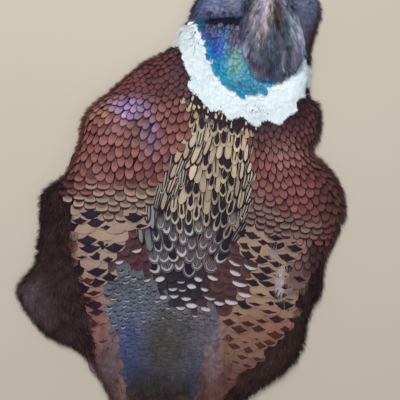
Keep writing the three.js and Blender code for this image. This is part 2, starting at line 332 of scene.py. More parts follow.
def copper_feather(f):
    """A bright scale with an even dark rim, a painted highlight inside its tip and painted shade
    toward its root.
    """
    # Painted highlight: a lighter band a little inside the tip.
    painted_highlight = f.reach.band(1.6, 5.0, 1.4) * 0.4
    body = f.blend(painted_highlight, f.ground(0.5, 2.5, 11.0), f.tint.dim(1.3))
    rim = (f.edge - (f.mark + 0.42)).fall(-0.1, 0.3)
    return f.blend(rim * f.reach.fall(12.0, 17.0), body, f.ink)


def scallop_feather(f):
    """A broad scale: brown, then a pale crescent inside a thick black rim."""
    brown, pale = f.tint.dim(f.barbs * 0.15 + 0.38), f.tint.dim(f.barbs * 0.2 + 1.0)
    body = f.blend(f.reach.fall(3.0, 6.0) * f.across.fall(0.8, 1.0), brown, pale)
    rim_width = f.mark * f.across.fall(0.1, 1.0) + 0.5
    return f.blend((f.edge - rim_width).fall(-0.1, 0.3), body, f.ink)


def golden_feather(f):
    """A broad golden feather whose tip carries a black mark like a moustache."""
    body = f.ground(0.86, 5.0, 14.0).dim(f.noise(90.0, 3.0) * 0.48 + 0.76)
    other = (f.chance * 7.3).math("FRACT")
    narrowed = f.across / (other * 0.3 + 0.3 + f.mark * 0.4)
    slope = (1.0 - narrowed).math("MAXIMUM") ** 1.25
    height = (slope * (f.chance * 1.8 + 3.4) + 0.4) * f.mark
    middle = f.mark * 0.9 + 0.8 + other * 1.4
    above = f.reach + f.wobble(520.0, 1.5) - middle
    inside = (above - height).fall(-0.3, 0.2) * (above + height * 0.6).rise(-0.3, 0.2)
    return f.blend(inside * narrowed.fall(0.9, 1.0) * f.mark.rise(0.05, 0.1), body, f.ink)


def mantle_feather(f):
    """A cream feather with a long drop of ink in its middle and a dark line up each side."""
    wobble = f.wobble(420.0, 2.0)
    tall = f.mark * 5.2 + 1.5
    centre = tall + (f.mark * 1.2 + 0.5) + f.chance * 2.6
    above = (f.reach + wobble - centre) / tall
    out = (f.across + wobble * 0.08) / (f.mark * 0.58 + 0.14) * (above * 0.35 + 1.1)
    tapered = (above * -1.0).math("MAXIMUM", above * 0.6)
    drop = (tapered**3.0 + out * out).fall(0.85, 1.1)
    line_width = (f.chance * 5.1).math("FRACT") * 0.9 + 0.7
    line = (f.edge - line_width).fall(-0.1, 0.35) * f.across.rise(0.3, 0.6)
    colour = f.blend(line * f.reach.rise(1.2, 2.6), f.ground(0.6, 8.0, 17.0), BLACK)
    middle = f.side.fall(0.4, 0.8) * f.chance.rise(0.6, 0.66) * f.reach.rise(3.0, 5.0)
    colour = f.blend(middle, colour, MAROON_BLACK)
    return f.blend(drop * f.mark.rise(0.05, 0.1), colour, f.ink)


def striped_feather(f):
    """A long hackle striped along its length: pale edge, black line and cream middle. Its tip is
    dark, and on some a bright hook runs round it."""
    edge = f.edge + f.wobble(260.0, 0.9)
    pale = f.blend(f.chance * 0.6, f.tint.dim(0.8), OFF_WHITE * 0.6)
    shaft = f.side.fall(0.4, 0.8) * f.chance.rise(0.55, 0.6)
    middle = f.blend(shaft, f.tint.dim(f.barbs * 0.3 + 0.85), BLACK)
    lined = f.blend(edge.rise(1.9, 2.3), BLACK, middle)
    outer = f.blend(f.reach.fall(1.0, 4.5), pale, BLACK)
    colour = f.blend(edge.rise(0.6, 0.9), outer, lined)
    hook = f.reach.fall(1.5, 4.0) * edge.fall(0.9, 1.3) * f.chance.rise(0.7, 1.0)
    return f.blend(hook * 0.8, colour, OFF_WHITE)


def scapular_feather(f):
    """Black inside a thin tan edge. A bright crescent lies inside the tip and thins up the sides;
    some feathers have a streaked grey fan within it."""
    edge = f.edge + f.wobble(420.0, 0.9)
    body = f.blend(edge.rise(0.6, 0.9), f.tint.dim(f.chance * 0.5 + 0.45), BLACK)
    tipward = f.reach.fall(2.0, 8.5)
    inside = edge - (tipward * (f.mark * 1.7 + 0.5) + 0.35 + 1.5)
    streaks = (f.across * 30.0 + f.chance * 40.0).waves()
    heart = f.blend(streaks * 0.8, BLACK * 1.3, f.tint.dim(1.1))
    shown = inside.rise(0.1, 0.9) * f.chance.rise(0.35, 0.5) * f.reach.fall(8.0, 14.0)
    body = f.blend(shown, body, heart)
    bright = (tipward * (f.mark * 0.45 + 0.3) + 0.12) * (streaks * 0.35 + 0.75)
    crescent = edge.rise(1.3, 1.6) * inside.fall(-0.2, 0.5) * f.reach.fall(12.0, 17.0)
    return f.blend(crescent * bright, body, OFF_WHITE)


def saddle_feather(f):
    """Maroon or black. A wide pale crescent follows the tip, streaked at its upper side."""
    dusk = f.reach.band(4.5, 8.0, 1.5) * f.across.fall(0.5, 0.8)
    body = f.blend(dusk * 0.6, f.ground(0.75, 6.0, 13.0), BLACK)
    span = f.across / (f.chance * 0.16 + 0.74)
    height = (1.0 - span**2.4) * (f.mark * 2.9 + 1.1)
    over = (f.reach + f.wobble(900.0, 1.6) - height) / (f.mark * 1.2 + 0.6)
    streaks = (f.across * 38.0).waves()
    crescent = f.reach.rise(0.6, 0.9) * (over + streaks * 0.6).fall(0.2, 1.2)
    bright = f.mark * 0.3 + 0.5 + f.barbs * 0.25
    return f.blend(crescent * f.mark.rise(0.05, 0.12) * bright, body, OFF_WHITE)


def rump_feather(f):
    """A loose plume with a dark bar and a light bar near its tip."""
    body = f.ground(0.75, 4.0, 12.0).dim(f.noise(300.0, 3.0) * 1.35 + 0.25)
    reach = f.reach + f.wobble(330.0, 3.0)
    dark = reach.band(1.5, 2.9, 0.3) * f.across.fall(0.6, 0.9) * (f.mark + 0.4)
    light = reach.band(0.6, 1.4, 0.3) * f.across.fall(0.5, 0.8) * f.mark
    light = light * f.chance.rise(0.5, 0.8) * f.mark.rise(0.5, 0.8)
    return f.blend(light * 0.7, f.blend(dark * 0.9, body, BLACK), OFF_WHITE)


def glossy_feather(f):
    """A small neck feather with a metal-like gloss and fine mottling."""
    mottled = f.ground(0.85, 1.0, 5.0).dim(f.noise(420.0, 3.0) * 0.6 + 0.7)
    return f.blend(f.edge.fall(0.1, 0.6) * 0.15, mottled, f.tint.dim(0.4))


def soft_feather(f):
    """A plain soft feather, used where the coat has no pattern."""
    return f.blend(f.edge.fall(0.0, 0.9) * 0.3, f.ground(0.75, 2.0, 8.0), f.tint.dim(0.7))


def strand_material():
    s = Shader("down", roughness=0.75, specular=0.15)
    return s.finish(s.colour("tint").dim(s.number("reach") * 0.32 + 0.78))


# How each look is drawn, how rough and how shiny it is, and how much one feather's brightness
# differs from the next.
LOOKS = {
    "copper": (copper_feather, 0.5, 0.18, 0.12),
    "scallop": (scallop_feather, 0.52, 0.18, 0.12),
    "golden": (golden_feather, 0.58, 0.18, 0.02),
    "mantle": (mantle_feather, 0.58, 0.18, 0.12),
    "striped": (striped_feather, 0.52, 0.18, 0.15),
    "scapular": (scapular_feather, 0.54, 0.18, 0.2),
    "saddle": (saddle_feather, 0.52, 0.18, 0.12),
    "rump": (rump_feather, 0.5, 0.35, 0.06),
    "glossy": (glossy_feather, 0.38, 0.55, 0.1),
    "soft": (soft_feather, 0.8, 0.15, 0.06),
}


def feather_material(look):
    draw, roughness, specular, _ = LOOKS[look]
    feather = Feather(f"{look} feather", roughness, specular)
    return feather.finish(draw(feather), feather.barbs, 0.05 * MM, 0.4)


MATERIALS = {look: feather_material(look) for look in LOOKS}
MATERIALS["down"] = strand_material()


# ---- Meshes ------------------------------------------------------------------------------------

def unit(vectors):
    return vectors / np.maximum(np.linalg.norm(vectors, axis=-1, keepdims=True), 1e-9)


def box_of(name):
    """The lowest and highest corners of a CAD node, in mm."""
    return (np.array(corner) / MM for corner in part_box(name))


def tree_of(places):
    tree = KDTree(len(places))
    for i, place in enumerate(places):
        tree.insert(Vector(place), i)
    tree.balance()
    return tree


def linked(name, data):
    made = bpy.data.objects.new(name, data)
    bpy.context.scene.collection.objects.link(made)
    return made


def add_piece(made, slot, *replaced):
    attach(made, "root")
    if replaced:
        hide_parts(*replaced)


def add_values(mesh, numbers, colours):
    """Numbers and colours at a mesh's vertices, for its shaders."""
    for key, values in numbers.items():
        layer = mesh.attributes.new(key, "FLOAT", "POINT")
        layer.data.foreach_set("value", values.astype(np.float32).ravel())
    for key, values in dict(colours).items():
        layer = mesh.attributes.new(key, "FLOAT_COLOR", "POINT")
        opaque = np.concatenate([values, np.ones((len(values), 1))], 1)
        layer.data.foreach_set("color", opaque.astype(np.float32).ravel())


def mesh_object(name, points, quads, materials, numbers, colours=(), looks=None, bake_map=None):
    """A smooth mesh of quads. points are in millimetres, numbers and colours are values at its
    vertices, and looks tells which material each quad has."""
    mesh = bpy.data.meshes.new(name)
    mesh.vertices.add(len(points))
    mesh.vertices.foreach_set("co", (points * MM).astype(np.float32).ravel())
    mesh.loops.add(4 * len(quads))
    mesh.loops.foreach_set("vertex_index", quads.astype(np.int32).ravel())
    mesh.polygons.add(len(quads))
    mesh.polygons.foreach_set("loop_start", np.arange(0, 4 * len(quads), 4, dtype=np.int32))
    for material in materials:
        mesh.materials.append(material)
    if looks is not None:
        mesh.polygons.foreach_set("material_index", looks.astype(np.int32))
    mesh.update(calc_edges=True)
    mesh.shade_smooth()
    add_values(mesh, numbers, colours)
    if bake_map is not None:
        layer = mesh.uv_layers.new(name="OFBake")
        layer.uv.foreach_set("vector", bake_map[quads.ravel()].astype(np.float32).ravel())
    return linked(name, mesh)


def coat_piece(name, slot, vertices, quad, numbers, colours, patches, materials, looks=None):
    """Many bent grids of one shape, joined into one piece. numbers has one for each vertex or for
    each grid, and colours has one for each grid."""
    count, each = vertices.shape[:2]
    quads = (quad[None] + each * np.arange(count)[:, None, None]).reshape(-1, 4)
    numbers = {key: np.broadcast_to(value, (count, each)) for key, value in numbers.items()}
    colours = {key: np.repeat(value, each, 0) for key, value in colours.items()}
    bake_map = np.clip(patches.reshape(-1, 2), 0, 1)
    points = vertices.reshape(-1, 3)
    made = mesh_object(name, points, quads, materials, numbers, colours, looks, bake_map)
    add_piece(made, slot)


def vertex_arrays(mesh):
    """Vertices in mm and their normals."""
    points, normals = np.empty((2, 3 * len(mesh.vertices)))
    mesh.vertices.foreach_get("co", points)
    mesh.vertices.foreach_get("normal", normals)
    return points.reshape(-1, 3) / MM, normals.reshape(-1, 3)


def triangles_of(mesh):
    mesh.calc_loop_triangles()
    triangles = np.empty(3 * len(mesh.loop_triangles), np.int32)
    mesh.loop_triangles.foreach_get("vertices", triangles)
    return triangles.reshape(-1, 3)


def node_mesh(names, grow=0.0):
    """The CAD nodes' vertices in mm, faces and each face's owner, grown outwards a little."""
    points, faces, owners = [], [], []
    count = 0
    for owner, name in enumerate(names):
        mesh = NODES[name].data
        corners, _ = vertex_arrays(mesh)
        # Vertices that a hard edge splits are joined, so that growing opens no gaps.
        _, first, same = np.unique(corners.round(3), axis=0, return_index=True, return_inverse=True)
        corners = corners[first]
        triangles = same.ravel()[triangles_of(mesh)]
        a, b, c = (corners[triangles[:, k]] for k in range(3))
        normals = np.zeros_like(corners)
        for k in range(3):
            np.add.at(normals, triangles[:, k], np.cross(b - a, c - a))
        points.append(corners + grow * unit(normals))
        faces.append(triangles + count)
        owners.append(np.full(len(triangles), owner))
        count += len(corners)
    return np.concatenate(points), np.concatenate(faces), np.concatenate(owners)


def remeshed(name, points, faces, voxel, rounds):
    """One smooth closed mesh round all of these solids."""
    mesh = bpy.data.meshes.new(name)
    mesh.from_pydata((points * MM).tolist(), [], faces.tolist())
    made = linked(name, mesh)
    remesh = made.modifiers.new("remesh", "REMESH")
    remesh.mode = "VOXEL"
    remesh.voxel_size = voxel * MM
    made.modifiers.new("smooth", "SMOOTH").iterations = rounds
    graph = bpy.context.evaluated_depsgraph_get()
    made.data = bpy.data.meshes.new_from_object(made.evaluated_get(graph))
    made.modifiers.clear()
    made.data.shade_smooth()
    return made


class Surface:
    """A mesh that points can be set down on."""

    def __init__(self, mesh):
        self.points, self.normals = vertex_arrays(mesh)
        self.triangles = triangles_of(mesh)
        self.tree = BVHTree.FromPolygons(self.points.tolist(), self.triangles.tolist())
        self.face_normals = unit(self.normals[self.triangles].mean(1))
        a, b, c = (self.points[self.triangles[:, k]] for k in range(3))
        self.areas = np.linalg.norm(np.cross(b - a, c - a), axis=1) / 2

    def settle(self, places):
        """The nearest points on the surface, with its normals there."""
        found = [self.tree.find_nearest(Vector(place)) for place in places]
        points = np.array([hit[0] for hit in found]).reshape(-1, 3)
        return points, self.face_normals[[hit[2] for hit in found]]

    def scatter(self, density):
        """Random points, density to the square millimetre."""
        count = int(self.areas.sum() * density)
        chosen = random.choice(len(self.areas), count, p=self.areas / self.areas.sum())
        a, b = random.random((2, count, 1))
        turned = a + b > 1
        a, b = np.where(turned, 1 - a, a), np.where(turned, 1 - b, b)
        p, q, r = (self.points[self.triangles[chosen, k]] for k in range(3))
        return p + a * (q - p) + b * (r - p), self.face_normals[chosen]


def solids_tree(*names):
    points, faces, owners = node_mesh(names)
    return BVHTree.FromPolygons(points.tolist(), faces.tolist()), owners


def distance_to(tree, places):
    return np.array([tree.find_nearest(Vector(place))[3] for place in places])


points, faces, _ = node_mesh(FLESH + FACES, grow=0.25)
coat_shell = remeshed("coat shell", points, faces, voxel=2.0, rounds=6)
coat = Surface(coat_shell.data)
region_tree, region_owner = solids_tree(*FLESH, *FACES)

HEAD = FLESH.index("head")
head_low, head_high = box_of("head")
HEAD_MIDDLE = (head_low[0] + head_high[0]) / 2 - 2
FACE_REAR = 7.5  # how far the bare face reaches behind the middle of its solid
face_low, face_high = box_of("face_left")
feathered_behind = (face_low[1] + face_high[1]) / 2 - FACE_REAR
COLLAR_END = (104, 86)  # where the breast begins to take the collar's outer corner


def regions_at(places):
    """The index in FLESH + FACES of the solid nearest to each place. The borders wander a little,
    the breast takes the collar's outer corner, and feathers cover the rear of the faces' solids."""
    x, y = places[:, 0], places[:, 1]
    wander = np.interp(y, [90, 150], [2.8, 0])
    aside = wander * np.sin(0.31 * y + 1.4 * np.sin(0.17 * x))
    ahead = wander * np.sin(0.29 * x + 1.6 * np.sin(0.19 * y))
    moved = places + np.stack([aside, ahead, np.zeros(len(places))], 1)
    found = np.array([region_owner[region_tree.find_nearest(Vector(p))[2]] for p in moved], int)
    beyond = moved[:, 0] - COLLAR_END[0]
    below = moved[:, 1] < COLLAR_END[1] + beyond * 1.7
    corner = (found == FLESH.index("collar")) & (beyond > 0) & below
    found = np.where(corner, FLESH.index("breast_right"), found)
    covered = (found >= len(FLESH)) & (y < feathered_behind)
    return np.where(covered, HEAD, found)


# ---- The lie of the coat -----------------------------------------------------------------------

# Where the feathers point, as places on the skin and directions along X and Y.
LIE = [
    (-28, 115, -0.55, -0.83), (-73, 106, -0.75, -0.66), (-51, 79, -0.6, -0.8),
    (-80, 79, -0.55, -0.84), (-64, 47, -0.15, -1), (-96, 29, -0.35, -0.93),
    (-28, 40, -0.42, -0.9), (-8, 66, -0.4, -0.92), (-82, -7, 0.05, -1), (-46, 2, -0.05, -1),
    (-82, -52, 0.08, -1), (-60, -88, 0.1, -1), (-73, -151, 0.28, -0.96), (-123, -25, -0.35, -0.94),
    (-136, -79, -0.5, -0.86), (-112, -115, 0.05, -1), (17, 74, 0, -1), (39, 38, -0.15, -1),
    (8, 2, 0.02, -1), (-3, 36, -0.45, -0.9), (-20, 8, -0.35, -0.94), (-29, -25, 0.12, -1),
    (-22, -52, 0.4, -0.92), (62, 20, -0.15, -1), (58, -12, -0.35, -0.94), (46, -44, -0.6, -0.8),
    (30, -64, -0.7, -0.7), (12, -43, 0, -1), (39, -79, 0, -1), (0, -88, 0, -1), (53, -90, -0.2, -1),
    (-19, -124, 0, -1), (-51, -106, 0.1, -1), (17, -124, -0.1, -1), (-15, -190, 0, -1),
    (75, 56, 0.05, -1), (107, 60, 0.6, -0.8), (98, 25, 0.25, -0.97), (130, 18, 0.6, -0.8),
    (134, -14, 0.2, -1), (104, -20, 0, -1), (80, -52, 0, -1), (120, -60, -0.3, -0.95),
    (93, -97, -0.1, -1), (95, -60, -0.45, -0.9), (66, -133, -0.25, -0.97), (110, -118, 0.1, -1),
    (39, -172, -0.35, -0.94),
    (8, 128, -0.5, -0.86), (20, 100, -0.3, -0.95), (44, 84, 0, -1), (80, 82, 0.1, -1),
    (107, 92, 0.4, -0.92), (116, 115, 0.6, -0.8), (30, 130, 0.1, -1), (53, 108, 0.05, -1),
    (92, 112, 0.3, -0.95), (21, 175, -0.3, -0.95), (118, 170, 0.4, -0.9), (116, 145, 0.2, -1),
]
LIE_REACH = 17.0  # how far each of these directions counts
HEAD_SPREAD = 40  # how far from the head's middle its feathers would turn out by 45 degrees
lie_places, lie_ways = np.split(np.array(LIE), 2, axis=1)


def lie_at(places, normals, on_head):
    """The direction from root to tip, along the surface. On the head all feathers run back."""
    apart = places[:, None, :2] - lie_places[None]
    weights = np.exp(-(apart**2).sum(2) / (2 * LIE_REACH**2)) + 1e-12
    outward = np.clip((places[:, 0] - HEAD_MIDDLE) / HEAD_SPREAD, -0.6, 0.6)
    back = np.stack([outward, -np.ones(len(places))], 1)
    way = np.where(on_head[:, None], back, weights @ lie_ways)
    way = np.concatenate([way, np.zeros((len(way), 1))], 1)
    return unit(way - (way * normals).sum(1, keepdims=True) * normals)


# ---- Feathers ----------------------------------------------------------------------------------

# The look, the spacing across and along, length, width, arc: how far the tip bulges past its
# corners, and sink: how deep the root lies.
MEASURES = ("across", "along", "length", "width", "arc", "sink")
KINDS = {
    "copper": ("copper", 7.8, 8.8, 21, 9.2, 6.2, 3.6),
    "oval": ("copper", 6.8, 10.5, 24, 8.2, 7.2, 3.6),
    "scallop": ("scallop", 9.4, 5.8, 19, 11.6, 5.2, 3.0),
    "lozenge": ("copper", 6.2, 9.2, 24, 7.6, 8.6, 3.4),
    "golden": ("golden", 15.0, 8.8, 27, 20, 4.4, 3.2),
    "mantle": ("mantle", 5.8, 11.5, 29, 7.8, 10.0, 3.2),
    "collar edge": ("mantle", 4.0, 4.8, 14, 5.4, 3.4, 2.4),
    "striped": ("striped", 6.0, 22.0, 50, 8.4, 15.0, 3.0),
    "scapular": ("scapular", 7.8, 9.4, 30, 10.2, 7.6, 3.8),
    "saddle": ("saddle", 12.4, 10.4, 25, 14.5, 6.6, 3.8),
    "small saddle": ("saddle", 8.8, 7.8, 20, 10.8, 5.4, 3.4),
    "rump": ("rump", 5.0, 4.5, 18, 7.0, 3.6, 2.0),
    "covert": ("soft", 9.0, 12.0, 34, 11.5, 7.0, 3.4),
    "neck": ("glossy", 3.4, 3.6, 11, 4.8, 2.4, 1.4),
    "dusk": ("soft", 3.4, 3.6, 11, 4.8, 2.4, 1.4),
    "white": ("soft", 5.2, 5.2, 15, 7.6, 3.8, 1.8),
    "crown": ("soft", 2.5, 5.0, 12, 3.2, 3.4, 1.4),
    "belly": ("soft", 9.0, 9.0, 25, 12.5, 6.5, 3.6),
}


def measures_of(kind, size):
    """The measures of each feather, by name."""
    table = np.array([KINDS[k][1:] for k in kind]) * size[:, None]
    return dict(zip(MEASURES, table.T))


# The left lobe, right lobe, collar, flanks and breast.
border_trees = [
    solids_tree(*names)[0]
    for names in (
        ("breast_left", "flank_left"), ("breast_right", "flank_right"), ("collar",),
        ("flank_left", "flank_right"), ("breast_left", "breast_right"),
    )
]


def near_borders(places):
    """How far each place lies from each of these."""
    return [distance_to(tree, places) for tree in border_trees]


# How far the rows of scallops reach into the breast and into the flanks.
SCALLOPS_ABOVE, SCALLOPS_BELOW = 21, 9
COLLAR_EDGING = 15  # how far the small dark feathers behind the collar reach into the mantle


def beside_scapulars(x, y):
    """Where the last scapulars spread over the edge of the lower back."""
    return (x > 8) & (y > -68) & (x < 31 + (y + 70) * 0.55)


def masks_of(regions):
    """Where each region of flesh lies, with the breast and the flanks as a whole."""
    at = {name: regions == FLESH.index(name) for name in FLESH}
    at["breast"] = at["breast_left"] | at["breast_right"]
    at["flank"] = at["flank_left"] | at["flank_right"]
    return at


def kinds_at(places, regions):
    """Which kind of feather grows at each place, and how large, as a share of its full size."""
    x, y = places[:, 0], places[:, 1]
    kind = np.full(len(places), "belly", dtype=object)
    size = np.ones(len(places))
    at = masks_of(regions)
    left, right, ring, gold, copper = near_borders(places)

    def put(name, where, share=None):
        kind[where] = name
        if share is not None:
            size[where] = np.broadcast_to(share, size.shape)[where]

    def along(*table):
        return np.interp(y, *table)

    put("copper", at["breast_left"], along([40, 70, 105], [1.0, 0.9, 0.6]))
    put("copper", at["breast_right"], along([-10, 30, 80], [0.95, 0.85, 0.7]))
    put("oval", at["breast_left"] & (y > 20) & (y < 78) & (x > -88))
    put("lozenge", at["breast_right"] & (y > 16) & (x < 128))
    put("golden", at["flank"], along([-150, -90, -20], [0.78, 0.94, 1.0]))
    beside_rump = (at["flank_left"] & (x > -70)) | (at["flank_right"] & (x < 40))
    fluffy = (beside_rump & (y < -108)) | (at["flank"] & (y < -165))
    fluffy |= (at["flank_left"] & (x < -96)) | (at["flank_right"] & (x > 106))
    put("belly", fluffy, 0.62)
    scalloped = (at["breast"] & (gold < SCALLOPS_ABOVE)) | (at["flank"] & (copper < SCALLOPS_BELOW))
    put("scallop", scalloped, np.where(x < 20, 1.0, 0.86))
    put("copper", at["flank_right"] & (x > 102) & (y > -64), 0.85)
    put("mantle", at["mantle"])
    put("collar edge", at["mantle"] & (ring < COLLAR_EDGING))
    put("striped", at["mantle"] & (left < along([-16, 20, 50], [20, 24, 18])) & (y < 52))
    put("striped", at["mantle"] & (right < along([-16, 40], [15, 5])) & (y < 40))
    put("scapular", at["scapulars"], along([-66, -44, -24], [1.35, 1.05, 0.85]))
    wave = (np.sin(x * 0.9 + 1.7 * np.sin(y * 0.31)) + 1) / 2
    put("mantle", at["scapulars"] & (wave < along([-50, -34, -20], [0, 0.3, 1.0])), 1.0)
    put("striped", at["scapulars"] & ((left < 15) | (right < 9)) & (y > -58), 0.9)
    put("saddle", at["lower_back"])
    put("small saddle", at["lower_back"] & (x < 22))
    put("scapular", at["lower_back"] & beside_scapulars(x, y), 1.2)
    put("rump", at["rump"])
    put("covert", at["tail_coverts"])
    put("neck", at["neck"] | at["cheek_left"] | at["cheek_right"])
    # The fold under the cheeks holds painted shadow: dark tints there, on feathers without gloss.
    shadowed = (np.abs(y - 164) < 6) & (x > 12) & (x < 57)
    put("dusk", (at["neck"] | at["cheek_left"]) & shadowed)
    put("white", at["collar"])
    put("crown", at["head"], along([150, 182, 200], [1.0, 0.52, 0.42]))
    return kind, size


COLLAR_SHADE = paint(44, 27, 40)
TAN = paint(154, 130, 112)
TAN_RIGHT = paint(124, 97, 90)
DARK_GLOSS = paint(18, 44, 52)


def tints_at(places, regions):
    """The feathers' colour at each place, painted sheen and shade included."""
    x, y = places[:, 0], places[:, 1]
    colour = np.empty((len(places), 3))
    for index, name in enumerate(FLESH + FACES):
        part = regions == index
        colour[part] = region_tint(name, x[part], y[part])
    _, _, ring, gold, copper = near_borders(places)
    at = masks_of(regions)
    by_collar = 0.92 * np.clip(1.15 - ring / np.where(x > 60, 32, 18), 0, 1)
    by_gold = ramp(gold, SCALLOPS_ABOVE + 1, SCALLOPS_ABOVE - 11)
    by_copper = ramp(copper, SCALLOPS_BELOW + 3, SCALLOPS_BELOW)
    beside_crown = ramp(np.abs(x - HEAD_MIDDLE), 12, 16) * ramp(y, 168, 178)
    for where, share, shade in (
        (at["breast"], by_collar, COLLAR_SHADE),
        (at["breast_left"] & (x > -84), by_gold, TAN),
        (at["breast_right"] & (x < 124), by_gold, TAN_RIGHT),
        (at["flank_left"] & (x > -84), by_copper, TAN),
        (at["flank_right"] & (x < 112), by_copper, TAN_RIGHT),
        (at["mantle"], ramp(ring, COLLAR_EDGING, COLLAR_EDGING - 4), COLLAR_SHADE),
        (at["lower_back"] & beside_scapulars(x, y), 1.0, paint(*REGION_TINTS["scapulars"])),
        (at["head"], 0.85 * beside_crown, DARK_GLOSS),
    ):
        colour = mixed(colour, shade, np.where(where, share, 0)[:, None])
    return colour


def across_ways(places, normals, on_head):
    """The lie at each place and the direction across it."""
    ways = lie_at(places, normals, on_head)
    return ways, np.cross(normals, ways)


CANDIDATES = 0.9  # places tried for a feather, to the square millimetre
ROOM = 0.74  # how near two feathers may lie, squared, against their spacing
PUSH_REACH = 1.22  # how near they push each other apart
NEIGHBOURS = 10  # how many others push a feather


def spread_out(places, normals, gap_across, gap_along, on_head):
    """Picks places so that each has its own room, wider along the one way than across it."""
    cell = float(max(gap_across.max(), gap_along.max()))
    taken, kept = {}, []
    rows = np.concatenate([places, *across_ways(places, normals, on_head)], 1).tolist()
    across, along = gap_across.tolist(), gap_along.tolist()
    steps = [(i, j) for i in (-1, 0, 1) for j in (-1, 0, 1)]

    def crowded(i, j):
        x, y, z, wx, wy, wz, ax, ay, az = rows[i]
        dx, dy, dz = x - rows[j][0], y - rows[j][1], z - rows[j][2]
        ahead = (dx * wx + dy * wy + dz * wz) / (along[i] + along[j]) * 2
        beside = (dx * ax + dy * ay + dz * az) / (across[i] + across[j]) * 2
        lift = (dx * dx + dy * dy + dz * dz) / cell**2
        return ahead * ahead + beside * beside < ROOM and lift < 4

    for i, (x, y, *_) in enumerate(rows):
        column, row = int(x // cell), int(y // cell)
        near = (j for step, jump in steps for j in taken.get((column + step, row + jump), ()))
        if not any(crowded(i, j) for j in near):
            kept.append(i)
            taken.setdefault((column, row), []).append(i)
    return np.array(kept)


def even_out(places, gap_across, gap_along, on_head, rounds=26):
    """Pushes crowded places apart, so that the tips lie like scales."""
    for turn in range(rounds):
        places, normals = coat.settle(places)
        ways, aside = across_ways(places, normals, on_head)
        tree = tree_of(places)
        found = [tree.find_n(Vector(place), NEIGHBOURS + 1)[1:] for place in places]
        near = np.array([[hit[1] for hit in hits] for hits in found])
        apart = places[:, None] - places[near]
        ahead = (apart * ways[:, None]).sum(2) / gap_along[:, None]
        beside = (apart * aside[:, None]).sum(2) / gap_across[:, None]
        far = np.sqrt(ahead**2 + beside**2) + 1e-6
        push = np.clip(PUSH_REACH - far, 0, 0.7) / far * (0.3 - 0.2 * turn / rounds)
        move_ahead = (push * ahead).sum(1) * gap_along
        move_beside = (push * beside).sum(1) * gap_across
        places = places + ways * move_ahead[:, None] + aside * move_beside[:, None]
    return coat.settle(places)[0]


def follow_back(places, lengths, on_head):
    """Lines on the coat from the feathers' tips back to their roots, with their normals."""
    line, tops = np.empty((2, len(places), STATIONS, 3))
    here, normal = coat.settle(places)
    for k in range(STATIONS):
        line[:, k], tops[:, k] = here, normal
        way = lie_at(here, normal, on_head)
        here, normal = coat.settle(here - way * (lengths / (STATIONS - 1))[:, None])
    return line, tops


EDGE_TOP = 20  # the height below which the pelt's edge rolls under
HEAD_AXIS, HEAD_RADIUS = 16, 24  # the height of the head's axis, and how far its feathers lie from it


def unrolled(places, normals, on_head, margin):
    """Places on the OFBake map, an unwrap of the skin's own shape: the pelt's rolled edges laid out
    flat, and the head opened round its axis. Also the map's extent in mm."""
    outward = normals[:, :2]
    steep = np.linalg.norm(outward, axis=1, keepdims=True)
    drop = np.clip(EDGE_TOP - places[:, 2:3], 0, EDGE_TOP)
    flat = places[:, :2] + outward * drop * steep
    angle = np.arctan2(places[:, 0] - HEAD_MIDDLE, places[:, 2] - HEAD_AXIS)
    opened = np.stack([HEAD_MIDDLE + HEAD_RADIUS * angle, places[:, 1]], 1)
    flat = np.where(on_head[:, None], opened, flat)
    low, high = flat.min(0), flat.max(0)
    extent = float((high - low).max()) + margin
    corner = (low + high) / 2 - extent / 2
    return (flat - corner) / extent, extent


# Rows and columns of a vane's grid, and the stops of its line on the coat.
VANE, SMALL_VANE = (12, 13), (9, 9)
STATIONS = 9
# How wide a vane is at its root, and how far down its length it is at its widest, as shares.
ROOT_WIDTH, FULL_WIDTH_AT = 0.14, 0.62


